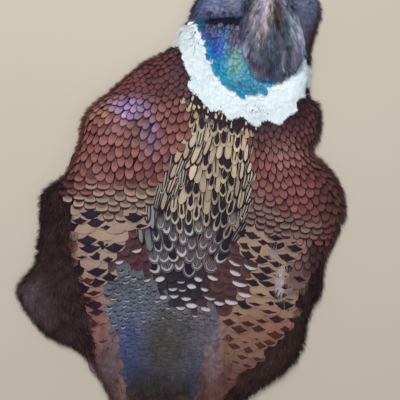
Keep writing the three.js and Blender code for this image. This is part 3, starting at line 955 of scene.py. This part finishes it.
def vanes(tips, measures, on_head, rows, columns):
    """Feathers as bent grids whose tips lie at the given places. Returns their vertices, the quads
    of one feather, values at the vertices, and each vertex's place on its vane."""
    count = len(tips)
    length = measures["length"] * np.clip(random.normal(1, 0.06, count), 0.85, 1.15)
    width = measures["width"] * np.clip(random.normal(1, 0.08, count), 0.8, 1.25)
    arc_depth, sink = measures["arc"], measures["sink"]
    line, tops = follow_back(tips, length, on_head)
    ways = -unit(np.gradient(line, axis=1))

    # u runs across a vane from -1 to 1, and v from its root to its tip.
    u = np.sin(np.linspace(-math.pi / 2, math.pi / 2, columns))
    v = np.linspace(0, 1, rows) ** 0.9
    u, v = (values.ravel() for values in np.meshgrid(u, v))
    bow = 1 - np.sqrt(np.maximum(1 - u**2, 0))
    arc = np.minimum(arc_depth, 0.6 * length)[:, None] * bow
    reach = (1 - v) * (length[:, None] - arc)
    fray = random.normal(0, 0.16, (count, len(u))) * (v > 0.98) * (np.abs(u) < 0.98)
    back = np.maximum(arc + reach + fray, 0)

    station = np.clip(back / length[:, None], 0, 1) * (STATIONS - 1)
    first = np.minimum(station.astype(int), STATIONS - 2)
    part = (station - first)[..., None]
    which = np.arange(count)[:, None]
    centre, top, side = (
        mixed(values[which, first], values[which, first + 1], part)
        for values in (line, tops, np.cross(tops, ways))
    )
    opening = np.sin(np.minimum(v / FULL_WIDTH_AT, 1) * math.pi / 2)
    half = width[:, None] / 2 * mixed(ROOT_WIDTH, 1, opening)
    out = u * half
    depth = sink[:, None] * (back / length[:, None]) ** 0.8
    roll = random.normal(0, 0.03, (count, 1))
    lift = np.clip(random.normal(0.2, 0.26, (count, 1)), -0.2, 0.8)
    slant = random.normal(0, 0.09, (count, 1))
    camber = 0.045 * out**2 / np.maximum(half, 1)
    droop = 0.35 * bell(reach, 0, 1.5)
    height = lift * v + roll * out - camber - depth - droop
    vertices = centre + side * (out + slant * back)[..., None] + top * height[..., None]
    vertices[..., 2] = np.maximum(vertices[..., 2], 0.25)

    slope = arc_depth[:, None] / (width[:, None] / 2) * np.abs(u) / np.sqrt(1.02 - u**2)
    edge = np.minimum((1 - np.abs(u)) * half, reach / np.sqrt(1 + slope**2))
    values = {"edge": edge, "reach": reach, "side": np.abs(out), "across": np.abs(u)[None]}
    a = np.arange((rows - 1) * columns).reshape(rows - 1, columns)[:, :-1].ravel()
    quads = np.stack([a, a + 1, a + columns + 1, a + columns], 1)
    return vertices, quads, values, np.stack([u / 2, v - 0.5], 1)


def rows_of(table, picked, *names):
    """The picked rows of a table's named columns."""
    return [table[name][picked] for name in names]


def feather_piece(name, picked, slot):
    """One coat piece: all the feathers picked, each with its own tint and its own patch of OFBake."""
    tips, normals, kind, size, on_head, tint, mark, ink = rows_of(
        roots, picked, "places", "normals", "kind", "size", "on_head", "tint", "mark", "ink")
    small = slot in ("crown_feathers", "neck_feathers", "white_feathers", "rump_feathers")
    measures = measures_of(kind, size)
    vertices, quad, values, local = vanes(tips, measures, on_head, *(SMALL_VANE if small else VANE))
    looks = [KINDS[k][0] for k in kind]
    used = sorted(set(looks))
    vary = np.array([LOOKS[look][3] for look in looks])[:, None]
    count = len(tips)
    tint = tint * (1 + vary * random.normal(0, 1, (count, 1)))
    tint = np.clip(tint * random.normal(1, 0.02, (count, 3)), 0.003, 0.95)
    values["chance"] = random.random((count, 1))
    values["mark"] = mark[:, None]
    places, extent = unrolled(tips, normals, on_head, margin=16)
    room = np.stack([measures["across"], measures["along"]], 1) * 0.62 / extent
    coat_piece(
        name, slot, vertices, quad, values, {"tint": tint, "ink": ink},
        places[:, None] + local[None] * room[:, None], [MATERIALS[look] for look in used],
        np.repeat([used.index(look) for look in looks], len(quad)),
    )


def fleshed(places, normals):
    """What grows at each place, without the places on the bare faces."""
    regions = regions_at(places)
    kept = regions < len(FLESH)
    places, normals, regions = places[kept], normals[kept], regions[kept]
    kind, size = kinds_at(places, regions)
    return dict(places=places, normals=normals, regions=regions, kind=kind, size=size,
                on_head=regions == HEAD)


def make_roots():
    """Where every feather's tip lies, and what grows there."""
    places, normals = coat.scatter(CANDIDATES)
    upward = (normals[:, 2] > -0.25) & (places[:, 2] > 1.2)
    crowd = fleshed(places[upward], normals[upward])
    measures = measures_of(crowd["kind"], crowd["size"])
    across, along = measures["across"], measures["along"]
    kept = spread_out(crowd["places"], crowd["normals"], across, along, crowd["on_head"])
    places, on_head = rows_of(crowd, kept, "places", "on_head")
    across, along = across[kept], along[kept]
    for part in (~on_head, on_head):
        places[part] = even_out(places[part], across[part], along[part], on_head[part])
    places, normals = coat.settle(places + random.normal(0, 0.06, (len(places), 3)) * across[:, None])
    made = fleshed(places, normals)
    return {**made, "tint": tints_at(made["places"], made["regions"])}


def make_marks(made):
    """How large each feather's mark is, and its ink."""
    x, y = made["places"][:, 0], made["places"][:, 1]
    count = len(x)
    mark = np.full(count, 0.5)
    ink = np.tile(MAROON_BLACK, (count, 1))

    def sizes(names, size):
        part = np.isin(made["kind"], names)
        mark[part] = size[part]
        return part

    golden = np.interp(y, [-190, -100, -20], [0.5, 0.8, 1.0])
    golden = sizes(["golden"], golden + random.normal(0, 0.26, count))
    mark[golden & (random.random(count) < 0.18)] = 0
    brown = np.maximum(ramp(y, -95, -125), ramp(x, -76, -84) * ramp(y, -50, -70))
    ink[golden] = mixed(BLACK, paint(72, 34, 30), brown[:, None])[golden]

    rims = np.interp(y, [84, 108], [0.3, 0.05])
    copper = sizes(["copper", "oval", "lozenge"], rims + random.normal(0, 0.08, count))
    # Painted sheen: the copper rims turn violet where the breast's gloss catches the light.
    glint = np.clip(blob(x, y, -48, 74, 18, 16) + blob(x, y, -28, 52, 9, 18), 0, 1)
    ink[copper] = mixed(MAROON_BLACK, PAINTED_VIOLET_SHEEN, glint[:, None])[copper]
    _, _, _, gold, _ = near_borders(made["places"])
    sizes(["scallop"], np.interp(gold, [0, 5, 12], [1.7, 1.2, 0.7]) + random.normal(0, 0.2, count))

    def some(share, sizes_drawn):
        return np.where(random.random(count) < share, sizes_drawn(), 0.0)

    drops = some(np.where(y > -12, 0.6, 0.85), lambda: random.normal(0.8, 0.22, count))
    ink[sizes(["mantle"], drops)] = BLACK
    sizes(["scapular"], random.normal(0.6, 0.35, count))
    edging = sizes(["collar edge"], some(0.42, lambda: random.uniform(0.12, 0.7, count)))
    ink[edging] = CREAM
    white = np.interp(x, [-34, -22, 0, 20], [0.16, 0.34, 0.85, 0.75])
    sizes(["saddle", "small saddle"], some(white, lambda: random.uniform(0.15, 1.0, count)))
    sizes(["rump"], np.interp(y - 0.2 * x, [-150, -118, -92], [0.15, 0.45, 1.0]))
    return np.clip(mark, 0, 1.8), ink


roots = make_roots()
roots["mark"], roots["ink"] = make_marks(roots)

# The regions of flesh that each kind of coat dresses.
REGIONS_OF = {
    "crown_feathers": ["head"],
    "neck_feathers": ["cheek_left", "cheek_right", "neck"],
    "white_feathers": ["collar"],
    "back_feathers": ["mantle", "scapulars", "lower_back"],
    "rump_feathers": ["rump", "tail_coverts"],
    "copper_feathers": ["breast_left", "breast_right"],
    "golden_feathers": ["flank_left", "flank_right"],
    "dark_down": ["belly_left", "belly_right"],
}
SLOTS = {region: slot for slot, regions in REGIONS_OF.items() for region in regions}
for index, region in enumerate(FLESH):
    feather_piece(f"feathers_{region}", np.flatnonzero(roots["regions"] == index), SLOTS[region])


# ---- Down --------------------------------------------------------------------------------------

# Strands to the square millimetre, their length, how far their tips stand off the coat, how far
# they stray from the lie, how wide they are, and how tightly they gather into locks.
DOWN = {
    "head": (3.4, 11, 1.7, 0.16, 0.24, 0.5), "cheek_left": (1.6, 7, 0.8, 0.3, 0.24, 0.4),
    "cheek_right": (1.6, 8, 0.8, 0.3, 0.24, 0.4), "neck": (1.3, 5, 0.3, 0.2, 0.24, 0.3),
    "collar": (3.0, 6, 0.8, 0.3, 0.5, 0.3),
    "rump": (0.5, 9, 0.3, 0.16, 0.3, 0.3), "tail_coverts": (1.6, 11, 0.8, 0.2, 0.26, 0.4),
    "flank_left": (1.3, 10, 0.8, 0.35, 0.3, 0.5), "flank_right": (1.3, 10, 0.8, 0.35, 0.3, 0.5),
    "belly_left": (2.0, 13, 3.4, 0.65, 0.3, 0.5), "belly_right": (2.0, 12, 3.0, 0.6, 0.3, 0.5),
}
# Loose wisps of grey down: where each lies, its reach across and along, and its tint.
WISPS = {
    "flank_right": [(90, -66, 2.6, 11, (206, 192, 202)), (84, -42, 2.0, 6, (176, 164, 172)),
                    (99, -72, 2.0, 8, (150, 130, 136))],
    "belly_left": [(-131, -80, 4, 11, (112, 96, 108)), (-141, -88, 3, 8, (104, 88, 94)),
                   (-118, -96, 6, 8, (84, 66, 70))],
    "belly_right": [(118, -104, 3, 9, (104, 84, 92))],
}
# How long the fringe is along the skin's edge, in each region that reaches it, and how far out it
# turns from the lie.
FRINGE = {
    "breast_left": (6, 0.7), "breast_right": (7, 0.7), "belly_left": (8, 0.8),
    "belly_right": (8, 0.7), "flank_left": (8, 0.5), "flank_right": (8, 0.5),
    "collar": (4, 0.9), "cheek_left": (5, 0.5), "cheek_right": (6, 0.6), "tail_coverts": (8, 0.5),
}
STRAND_DENSITY, FRINGE_DENSITY = 3.4, 2.0  # the most strands to the square millimetre
LOCK = 22  # strands in a lock
FUZZ = paint(92, 68, 64)
SEGMENTS = 3
SHARES = np.linspace(0, 1, SEGMENTS + 1)  # the stops along a strand, and its width at each
STRAND_TAPER = np.array([1.0, 1.0, 0.75, 0.2])
STRAND_PATCH = 0.003  # the share of the OFBake map that one strand takes
# How much one lock's brightness differs from the next, where it isn't 0.18.
LOCK_VARIES = {"head": 0.42, "belly_left": 0.34, "belly_right": 0.34, "collar": 0.03}


def gather(lines, tightness):
    """Draws the ends of neighbouring strands together into locks, and numbers the locks."""
    count = len(lines)
    heads = random.choice(count, max(count // LOCK, 1), replace=False)
    tree = tree_of(lines[heads, 0])
    lock = np.array([tree.find(Vector(place))[1] for place in lines[:, 0]])
    own = tightness * SHARES[None, :, None] ** 1.4
    return lines + (lines[heads][lock] - lines) * own, lock


def strand_piece(name, region, lines, aside, thick, tint, tightness):
    """Strands as thin tapering ribbons along the given lines, joined into one piece."""
    count = len(lines)
    lines, lock = gather(lines, tightness)
    half = thick / 2 * STRAND_TAPER
    sides = [(k, side) for k in range(SEGMENTS + 1) for side in (-1, 1)]
    vertices = np.stack([lines[:, k] + side * aside * half[k] for k, side in sides], 1)
    vertices[..., 2] = np.maximum(vertices[..., 2], 0.2)
    quad = 2 * np.arange(SEGMENTS)[:, None] + np.array([0, 1, 3, 2])
    varies = LOCK_VARIES.get(region, 0.18)
    shade = random.normal(1, varies, (lock.max() + 1, 1))[lock]
    shade = shade * random.normal(1, 0.6 * varies, (count, 1))
    tint = np.clip(tint * np.clip(shade, 0.35, 2.2), 0.004, 1.0)
    _, normals = coat.settle(lines[:, 0])
    on_head = np.full(count, region == "head")
    places, _ = unrolled(lines[:, 0], normals, on_head, margin=4)
    local = np.array([[side * 0.5, SHARES[k] - 0.5] for k, side in sides]) * STRAND_PATCH
    coat_piece(
        name, SLOTS[region], vertices, quad, {"reach": np.repeat(SHARES, 2)}, {"tint": tint},
        places[:, None] + local[None], [MATERIALS["down"]],
    )


def turned(ways, normals, stray):
    """The ways turned about the normals by random angles, and what lies across them."""
    turn = random.normal(0, stray, (len(ways), 1))
    aside = np.cross(normals, ways)
    ways = ways * np.cos(turn) + aside * np.sin(turn)
    return ways, np.cross(normals, ways)


def bent_lines(start, middle, end):
    """Curves that pass through the three places."""
    pull = 2 * middle - (start + end) / 2
    return np.stack([(1 - t) ** 2 * start + 2 * t * (1 - t) * pull + t**2 * end for t in SHARES], 1)


def down_piece(region):
    """The region's strands, which leave the skin and run with the lie."""
    density, length, stand, stray, thick, tightness = DOWN[region]
    part = strands["regions"] == FLESH.index(region)
    x, y = strands["places"][:, 0], strands["places"][:, 1]
    wisps = [(blob(x, y, *oval), paint(*shade)) for *oval, shade in WISPS.get(region, [])]
    if region.startswith("flank"):
        density = density * ramp(y, -105, -135) * ramp(x, -88, -76) * (x < 44)
        density = np.maximum(density, STRAND_DENSITY * sum(share for share, _ in wisps))
    picked = np.flatnonzero(part & (strands["chance"] * STRAND_DENSITY < density))
    places, normals, tint = rows_of(strands, picked, "places", "normals", "tint")
    x, y = places[:, 0], places[:, 1]
    count = len(picked)
    ways, aside = turned(lie_at(places, normals, np.full(count, region == "head")), normals, stray)
    long = length * random.uniform(0.6, 1.25, (count, 1))
    if region == "head":
        long = long * np.interp(places[:, 1:2], [150, 185, 205], [1.0, 0.5, 0.25])
    if not region.startswith("belly"):
        for _ in range(3):
            outside = regions_at(places + ways * long) != FLESH.index(region)
            long[outside] *= 0.6
    far, far_normals = coat.settle(places + ways * long)
    far = far * 0.75 + (places + ways * long) * 0.25
    sunk = random.uniform(1.2, 2.6, (count, 1))
    tall = stand * random.random((count, 1)) ** 1.5
    middle = (places + far) / 2 + (normals + far_normals) * 0.25 * tall - normals * 0.3 * sunk
    lines = bent_lines(places - normals * sunk, middle, far + far_normals * tall)
    if region.startswith("belly"):
        tint = mixed(tint, FUZZ, random.random((count, 1)) ** 2 * 0.8)
    for share, shade in wisps:
        share = np.clip(1.8 * share[picked], 0, 1)[:, None] * random.uniform(0.4, 1, (count, 1))
        tint = mixed(tint, shade, share)
    if region == "collar":
        flecked = blob(x, y, 67, 85, 8, 3) + blob(x, y, 12, 152, 5, 9)
        tint = np.where((random.random(count) < 0.2 * flecked)[:, None], COLLAR_SHADE, tint)
    if region == "head":
        streak = random.random((count, 1))
        tint = np.where(streak < 0.08, tint * 1.8, np.where(streak > 0.8, tint * 0.6, tint))
    strand_piece(f"down_{region}", region, lines, aside, thick, tint, tightness)


def fringe_piece(region):
    """The soft fringe along the skin's edge, which droops to the ground."""
    length, outward = FRINGE[region]
    part = strands["regions"] == FLESH.index(region)
    rim = part & (strands["places"][:, 2] < 9) & (strands["normals"][:, 2] < 0.75)
    picked = np.flatnonzero(rim & (strands["chance"] * STRAND_DENSITY < FRINGE_DENSITY))
    places, normals, tint = rows_of(strands, picked, "places", "normals", "tint")
    count = len(picked)
    ways = lie_at(places, normals, np.zeros(count, bool))
    ways = unit(ways * [1, 1, 0.2] + unit(normals * [1, 1, 0]) * outward)
    ways, aside = turned(ways, np.tile([0.0, 0.0, 1.0], (count, 1)), 0.3)
    long = length * random.uniform(0.3, 1.25, (count, 1))
    end = places + ways * long
    end[:, 2] = places[:, 2] * random.uniform(0.2, 0.9, count)
    middle = places + ways * long * 0.5
    middle[:, 2] = places[:, 2] * 0.5 + end[:, 2] * 0.5 + 0.1 * long[:, 0]
    lines = bent_lines(places - normals * 1.5, middle, end)
    grey = random.uniform(0.1, 0.6, (count, 1))
    tint = tint * 0.85
    tint = tint if region == "collar" else mixed(tint, FUZZ * 0.8, grey)
    strand_piece(f"fringe_{region}", region, lines, aside, 0.22, tint, 0.4)


def make_strands():
    """Where every strand of down leaves the skin."""
    places, normals = coat.scatter(STRAND_DENSITY)
    upward = (normals[:, 2] > -0.3) & (places[:, 2] > 0.8)
    places, normals = places[upward], normals[upward]
    chance = random.random(len(places))
    regions = regions_at(places)
    tint = tints_at(places, regions)
    return dict(places=places, normals=normals, chance=chance, regions=regions, tint=tint)


strands = make_strands()
for region in DOWN:
    down_piece(region)
for region in FRINGE:
    fringe_piece(region)


# ---- Skin --------------------------------------------------------------------------------------

def skin_material():
    """Down-coloured above, tanned hide below with the pits of the feathers."""
    s = Shader("skin", roughness=0.8, specular=0.2, sheen=0.1)
    fluff = s.noise(900.0, 4.0)
    above = s.colour("tint").dim(fluff * 0.5 + 0.3)
    hide = s.blend(s.noise(40.0, 4.0), paint(206, 186, 150), paint(176, 148, 112))
    pits = s.texture("Voronoi", 170.0, "Distance")
    hide = s.blend(pits.fall(0.1, 0.25) * 0.35, hide, paint(120, 92, 66))
    height = fluff * 0.4 + pits.rise(0.0, 0.4)
    return s.finish(s.blend(s.number("under"), above, hide), height, 0.5 * MM, 0.5)


# How deep the skin lies under the coat's surface, and how high its upper side stays.
HEAD_DEPTH, BODY_DEPTH = 1.6, 4.4
SKIN_LEAST = 0.5


def make_skin():
    """One closed skin inside all the solids of flesh, by the depth of the coat."""
    mesh = coat_shell.data
    points, normals = vertex_arrays(mesh)
    regions = regions_at(points)
    on_head = (regions == HEAD) | (regions >= len(FLESH))
    depth = np.where(on_head, HEAD_DEPTH, BODY_DEPTH)[:, None]
    inset = points - normals * depth * [1, 1, 0]
    inset[:, 2] -= depth[:, 0] * np.clip(normals[:, 2], 0, 1)
    below = normals[:, 2] < -0.4
    inset[:, 2] = np.where(below, points[:, 2], np.maximum(inset[:, 2], SKIN_LEAST))
    inset[:, 2] = np.maximum(inset[:, 2], 0)
    mesh.vertices.foreach_set("co", (inset * MM).astype(np.float32).ravel())
    mesh.update()
    under = ramp(-normals[:, 2], 0.3, 0.7) * ~on_head
    add_values(mesh, {"under": under}, {"tint": tints_at(points, regions)})
    mesh.materials.clear()
    mesh.materials.append(skin_material())
    coat_shell.name = "skin"
    add_piece(coat_shell, "dark_down", *FLESH)


make_skin()


# ---- Head --------------------------------------------------------------------------------------

def closed_grid(rows, columns, wrap_rows):
    """Quads of a grid whose columns close round, and whose rows close too where asked."""
    a = np.arange(rows * columns).reshape(rows, columns)
    right, below = np.roll(a, -1, axis=1), np.roll(a, -1, axis=0)
    quads = np.stack([a, right, np.roll(right, -1, axis=0), below], 2)
    return quads[:rows if wrap_rows else rows - 1].reshape(-1, 4)


FACE_TURN = math.radians(22)  # how far the faces turn forward


def facing(side):
    """The bare face's own middle, and a function that sets places down from it by how far they lie
    forward, up and out."""
    low, high = box_of("face_left" if side < 0 else "face_right")
    cos, sin = math.cos(FACE_TURN), math.sin(FACE_TURN)
    out, ahead = np.array([side * cos, sin, 0]), np.array([-side * sin, cos, 0])
    up = np.array([0.0, 0.0, 1.0])

    def set_down(a, b, c):
        return (low + high) / 2 + a[..., None] * ahead + b[..., None] * up + c[..., None] * out

    return set_down


def bare_face_material():
    """Red wattle skin: bright warts with darker furrows, and a greyer ring at the lids."""
    s = Shader("bare face", roughness=0.5, specular=0.4)
    lid, blotch = s.number("lid"), s.noise(260.0, 3.0)
    red = s.blend(s.number("wart"), paint(112, 10, 14), paint(196, 36, 30))
    red = s.blend(blotch.rise(0.45, 0.7) * 0.35, red, paint(150, 20, 26))
    dots = s.texture("Voronoi", 620.0, "Distance")
    bristles = dots.fall(0.16, 0.26) * blotch.rise(0.42, 0.5) * lid.fall(0.05, 0.2)
    red = s.blend(bristles, red, paint(24, 10, 14))
    colour = s.blend(lid * 0.8, red, paint(150, 74, 62))
    return s.finish(colour, s.noise(2600.0, 3.0), 0.08 * MM, 0.5)


FACE_HALF = (14.5, 9.5, 4.5)  # the lens-shaped solid's half length, height and thickness
EYE_RADIUS, EYE_OUT = 5.0, 0.5
LID_OPENING = 4.0
WART_PITCH, WART_RADIUS = 1.15, 0.66
PUPIL_RADIUS, IRIS_RADIUS = 1.85, 3.7


def hexagons(pitch, reach):
    """A jittered grid of six-sided cells, on the plane z = 0."""
    steps = range(-int(reach / pitch) - 2, int(reach / pitch) + 3)
    grid = [((i + 0.5 * (j % 2)) * pitch, j * pitch * 0.87) for i in steps for j in steps]
    grid = np.array(grid) + random.normal(0, 0.16 * pitch, (len(grid), 2))
    return np.pad(grid, ((0, 0), (0, 1)))


def bare_face(side, name):
    """The warty red skin round an eye, with the eyelids as a ring that rests on the eyeball."""
    set_down = facing(side)
    columns, rows = 150, 52
    around = np.linspace(0, 2 * math.pi, columns, endpoint=False)
    cos, sin = np.cos(around), np.sin(around)
    opening = LID_OPENING * (1 + 0.09 * np.cos(2 * around))
    half_long = np.where(cos > 0, FACE_HALF[0], FACE_REAR)
    rim = 1 / np.sqrt((cos / half_long) ** 2 + (sin / FACE_HALF[1]) ** 2)
    rim = rim * (1 - 0.16 * np.clip(sin, 0, 1) + 0.03 * np.sin(5 * around + 1)) * 0.99
    radius = opening + (rim - opening) * np.linspace(0, 1, rows)[:, None]
    a, b = radius * cos, radius * sin
    bulge = np.sqrt(np.clip(1 - (a / FACE_HALF[0]) ** 2 - (b / FACE_HALF[1]) ** 2, 0, 1))
    ball = np.sqrt(np.clip(EYE_RADIUS**2 - radius**2, 0, None)) + EYE_OUT
    beyond = radius - opening
    lid, furrow = bell(beyond, 0.75, 0.55), bell(beyond, 1.8, 0.4)
    height = mixed(ball, bulge * FACE_HALF[2], ramp(beyond, 0, 0.7) ** 0.6)
    height += 0.75 * lid - 0.35 * furrow
    tree = tree_of(hexagons(WART_PITCH, FACE_HALF[0]))
    nearest = np.array([tree.find(Vector((p, q, 0)))[2] for p, q in zip(a.ravel(), b.ravel())])
    wart = np.clip(1 - (nearest.reshape(a.shape) / WART_RADIUS) ** 2, 0, 1)
    wart *= ramp(beyond, 1.6, 2.4)
    edge_fade = ramp(rim - radius, 0, 1.2)
    height += 0.6 * wart * edge_fade - 1.2 * (1 - edge_fade)
    level = np.zeros(columns)
    back = [set_down(a[-1] * k, b[-1] * k, level + h) for k, h in ((0.96, 0.0), (0.7, -2.2))]
    back.append(set_down(a[0], b[0], level))
    points = np.concatenate([set_down(a, b, height), np.array(back)])
    spare = np.zeros((len(back), columns))
    quads = closed_grid(rows + len(back), columns, wrap_rows=True)[:, ::-side]
    numbers = {"wart": np.concatenate([wart, spare]), "lid": np.concatenate([lid, spare])}
    made = mesh_object(f"wattle_{name}", points.reshape(-1, 3), quads, [BARE_FACE], numbers)
    add_piece(made, "bare_face", f"face_{name}")


def eye_material():
    """A glass eye: black pupil, streaked amber iris, dark rim, all under a clear gloss."""
    s = Shader("glass eye", roughness=0.2, specular=0.2, coat=0.3)
    off = s.number("off")
    iris = s.blend(s.number("streak"), paint(128, 62, 18), paint(208, 138, 52))
    iris = s.blend(off.rise(2.6, 3.5), iris, paint(84, 34, 12))
    colour = s.blend(off.rise(PUPIL_RADIUS - 0.1, PUPIL_RADIUS + 0.1), paint(4, 4, 6), iris)
    rim = off.rise(IRIS_RADIUS - 0.15, IRIS_RADIUS + 0.2)
    return s.finish(s.blend(rim, colour, paint(18, 10, 8)))


def eyeball(side, name):
    """An eyeball whose clear front bulges, seen from its own optical axis."""
    rows, columns = 40, 72
    off = np.linspace(0.001, math.pi - 0.001, rows)[:, None]
    around = np.linspace(0, 2 * math.pi, columns, endpoint=False)[None]
    radius = (EYE_RADIUS - 0.05) + 0.4 * bell(off, 0, 0.62)
    a = radius * np.sin(off) * np.cos(around)
    b = radius * np.sin(off) * np.sin(around)
    c = radius * np.cos(off) * np.ones_like(around)
    points = facing(side)(a, b, c + EYE_OUT)
    spoke = random.random(columns)[None] * np.ones((rows, 1))
    streak = 0.65 * spoke + 0.35 * random.random((rows, columns))
    numbers = {"off": np.hypot(a, b) * (c > 0) + 9 * (c <= 0), "streak": streak}
    quads = closed_grid(rows, columns, wrap_rows=False)[:, ::-side]
    made = mesh_object(f"glass_eye_{name}", points.reshape(-1, 3), quads, [GLASS_EYE], numbers)
    add_piece(made, "glass_eye", f"eye_{name}")


def horn_material():
    """Pale horn: fine streaks along the bill, darker on the ridge and at the base."""
    s = Shader("horn", roughness=0.36, specular=0.5, coat=0.15)
    streaks = s.noise(1.0, 4.0, stretch=(900.0, 60.0, 900.0))
    pale = s.blend(streaks, paint(176, 164, 120), paint(206, 196, 156))
    dusky = s.blend(streaks, paint(112, 104, 80), paint(140, 130, 100))
    colour = s.blend(s.number("dark") * 0.8, pale, dusky)
    # The nostrils are painted near black: painted shade in their hollows.
    colour = s.blend(s.number("pit"), colour, paint(30, 22, 18))
    return s.finish(colour, streaks, 0.12 * MM, 0.4)


# The bill's sections: place along Y, middle, half width, lowest and highest.
UPPER_BILL = [
    (200.0, 77.2, 6.7, 12.3, 23.7), (205, 77.0, 6.2, 12.2, 23.3), (209, 76.9, 5.7, 12.1, 22.5),
    (213, 76.7, 5.1, 11.9, 21.5), (217, 76.5, 4.4, 11.6, 20.2), (220, 76.35, 3.7, 11.2, 18.8),
    (223, 76.2, 2.9, 10.5, 16.8), (225.5, 76.1, 2.1, 9.8, 14.7), (227.5, 76.0, 1.4, 9.0, 12.7),
    (229, 75.9, 0.6, 8.2, 10.4),
]
LOWER_BILL = [
    (200.0, 77.2, 5.4, 7.2, 12.3), (206, 77.0, 4.9, 7.3, 12.2), (211, 76.8, 4.3, 7.6, 11.9),
    (215, 76.6, 3.6, 7.9, 11.6), (218, 76.4, 2.9, 8.2, 11.2), (221.5, 76.2, 2.0, 8.6, 10.8),
    (224, 76.1, 0.9, 9.0, 10.2),
]
NOSTRIL = (208.3, 0.36)  # where the nostrils lie: along Y, and the sine of their angle up the side


def horn_piece(name, sections, replaced, upper):
    """A closed bill half, with a ridge, cutting edges and, above, a nostril on each side."""
    rows, columns = 46, 56
    known = np.array(sections)
    y = known[0, 0] + (known[-1, 0] - known[0, 0]) * np.linspace(0, 1, rows) ** 0.9
    x, half, low, high = (np.interp(y, known[:, 0], known[:, k]) for k in range(1, 5))
    kernel = np.array([0.25, 0.5, 0.25])
    for values in (half, low, high):
        for _ in range(3):
            values[1:-1] = np.convolve(values, kernel, "valid")
    angle = np.linspace(0, 2 * math.pi, columns, endpoint=False)
    cos, sin = np.cos(angle), np.sin(angle)
    ridge = np.clip(sin if upper else -sin, 0, 1)
    power = 2 / 2.3
    width = np.sign(cos) * np.abs(cos) ** power * (1 - 0.3 * ridge**2)
    height = np.sign(sin) * np.abs(sin) ** power
    points = np.empty((rows, columns, 3))
    points[..., 0] = x[:, None] + half[:, None] * width
    points[..., 1] = y[:, None] - (0.36 * (1 - ridge) if upper else 0)
    points[..., 2] = ((low + high) / 2)[:, None] + ((high - low) / 2)[:, None] * height
    out = np.stack([cos, np.zeros(columns), sin], 1)
    meeting = -0.62 if upper else 0.62
    lip = 0.22 * bell(sin, meeting, 0.2) * ramp(half, 0, 3)[:, None]
    points += out * lip[..., None]
    pit = np.zeros((rows, columns))
    if upper:
        along = (y[:, None] - NOSTRIL[0]) / 2.6
        rise = (sin[None] - NOSTRIL[1] - 0.05 * along) / 0.13
        pit = np.exp(-(along**4) - rise**2) * (np.abs(cos) > 0.5)
        hood = blob(y[:, None], sin[None], NOSTRIL[0] - 1, 2 * NOSTRIL[1], 3.2, 0.2)
        points += out * (0.5 * hood * (np.abs(cos) > 0.3) - 0.8 * pit)[..., None]
    dark = np.clip(1.1 - (y[:, None] - y[0]) / 12, 0, 1) * 0.8 + 0.7 * (ridge**4)[None] * upper
    hub = rows * columns
    ends = []
    for i in range(0, columns, 2):
        rim = [(i + step) % columns for step in range(3)]
        ends += [[hub, *rim[::-1]], [hub + 1, *(hub - columns + place for place in rim)]]
    quads = np.concatenate([closed_grid(rows, columns, wrap_rows=False), np.array(ends)])
    vertices = np.concatenate([points.reshape(-1, 3), [points[0].mean(0), points[-1].mean(0)]])
    numbers = {
        key: np.concatenate([values.ravel(), np.zeros(2)])
        for key, values in (("pit", pit), ("dark", np.clip(dark, 0, 1)))
    }
    made = mesh_object(name, vertices, quads[:, ::-1], [HORN], numbers)
    add_piece(made, "horn", replaced)


BARE_FACE, GLASS_EYE, HORN = bare_face_material(), eye_material(), horn_material()
for side, name in ((-1, "left"), (1, "right")):
    bare_face(side, name)
    eyeball(side, name)
horn_piece("bill_above", UPPER_BILL, "bill_upper", upper=True)
horn_piece("bill_below", LOWER_BILL, "bill_lower", upper=False)


# ---- Stage -------------------------------------------------------------------------------------

def make_stage():
    """A plain pale floor and soft light from above the head's end. The lamps are in metres."""
    size = 4.0
    mesh = bpy.data.meshes.new("floor")
    corners = [(-size, -size, 0), (size, -size, 0), (size, size, 0), (-size, size, 0)]
    mesh.from_pydata(corners, [], [(0, 1, 2, 3)])
    floor = linked("floor", mesh)
    s = Shader("floor", roughness=0.9, specular=0.1)
    mesh.materials.append(s.finish(s.blend(s.noise(3.0), paint(206, 196, 180), paint(200, 189, 172))))
    floor.location.z = -0.2 * MM

    def lamp(name, at, towards, power, extent, colour):
        data = bpy.data.lights.new(name, "AREA")
        data.energy = power
        data.shape = "DISK"
        data.size = extent
        data.color = colour
        made = linked(name, data)
        made.location = at
        made.rotation_euler = (Vector(towards) - Vector(at)).to_track_quat("-Z", "Y").to_euler()

    lamp("key", (-0.25, 0.75, 1.1), (0, 0.02, 0), 12.4, 0.6, (1.0, 0.98, 0.97))
    lamp("fill", (0.7, -0.3, 1.3), (0, 0, 0), 5.0, 1.4, (0.93, 0.95, 1.0))
    world = bpy.data.worlds.new("world")
    world.use_nodes = True
    sky = world.node_tree.nodes["Background"].inputs
    sky["Color"].default_value = (0.86, 0.9, 1.0, 1)
    sky["Strength"].default_value = 0.34
    bpy.context.scene.world = world
    bpy.context.scene.view_settings.view_transform = "Standard"


def make_camera():
    """Straight above the skin, bill up, framed like the photograph, which cuts off the head."""
    middle = (16.65 * MM, 2.25 * MM)
    rise, mean_height, frame_width = 600.0, 20.0, 360.0
    data = bpy.data.cameras.new("camera")
    data.sensor_width = 36.0
    data.lens = data.sensor_width * rise / frame_width
    data.clip_start = 0.01
    camera = linked("camera", data)
    camera.location = (*middle, (rise + mean_height) * MM)
    bpy.context.scene.camera = camera


make_stage()
make_camera()
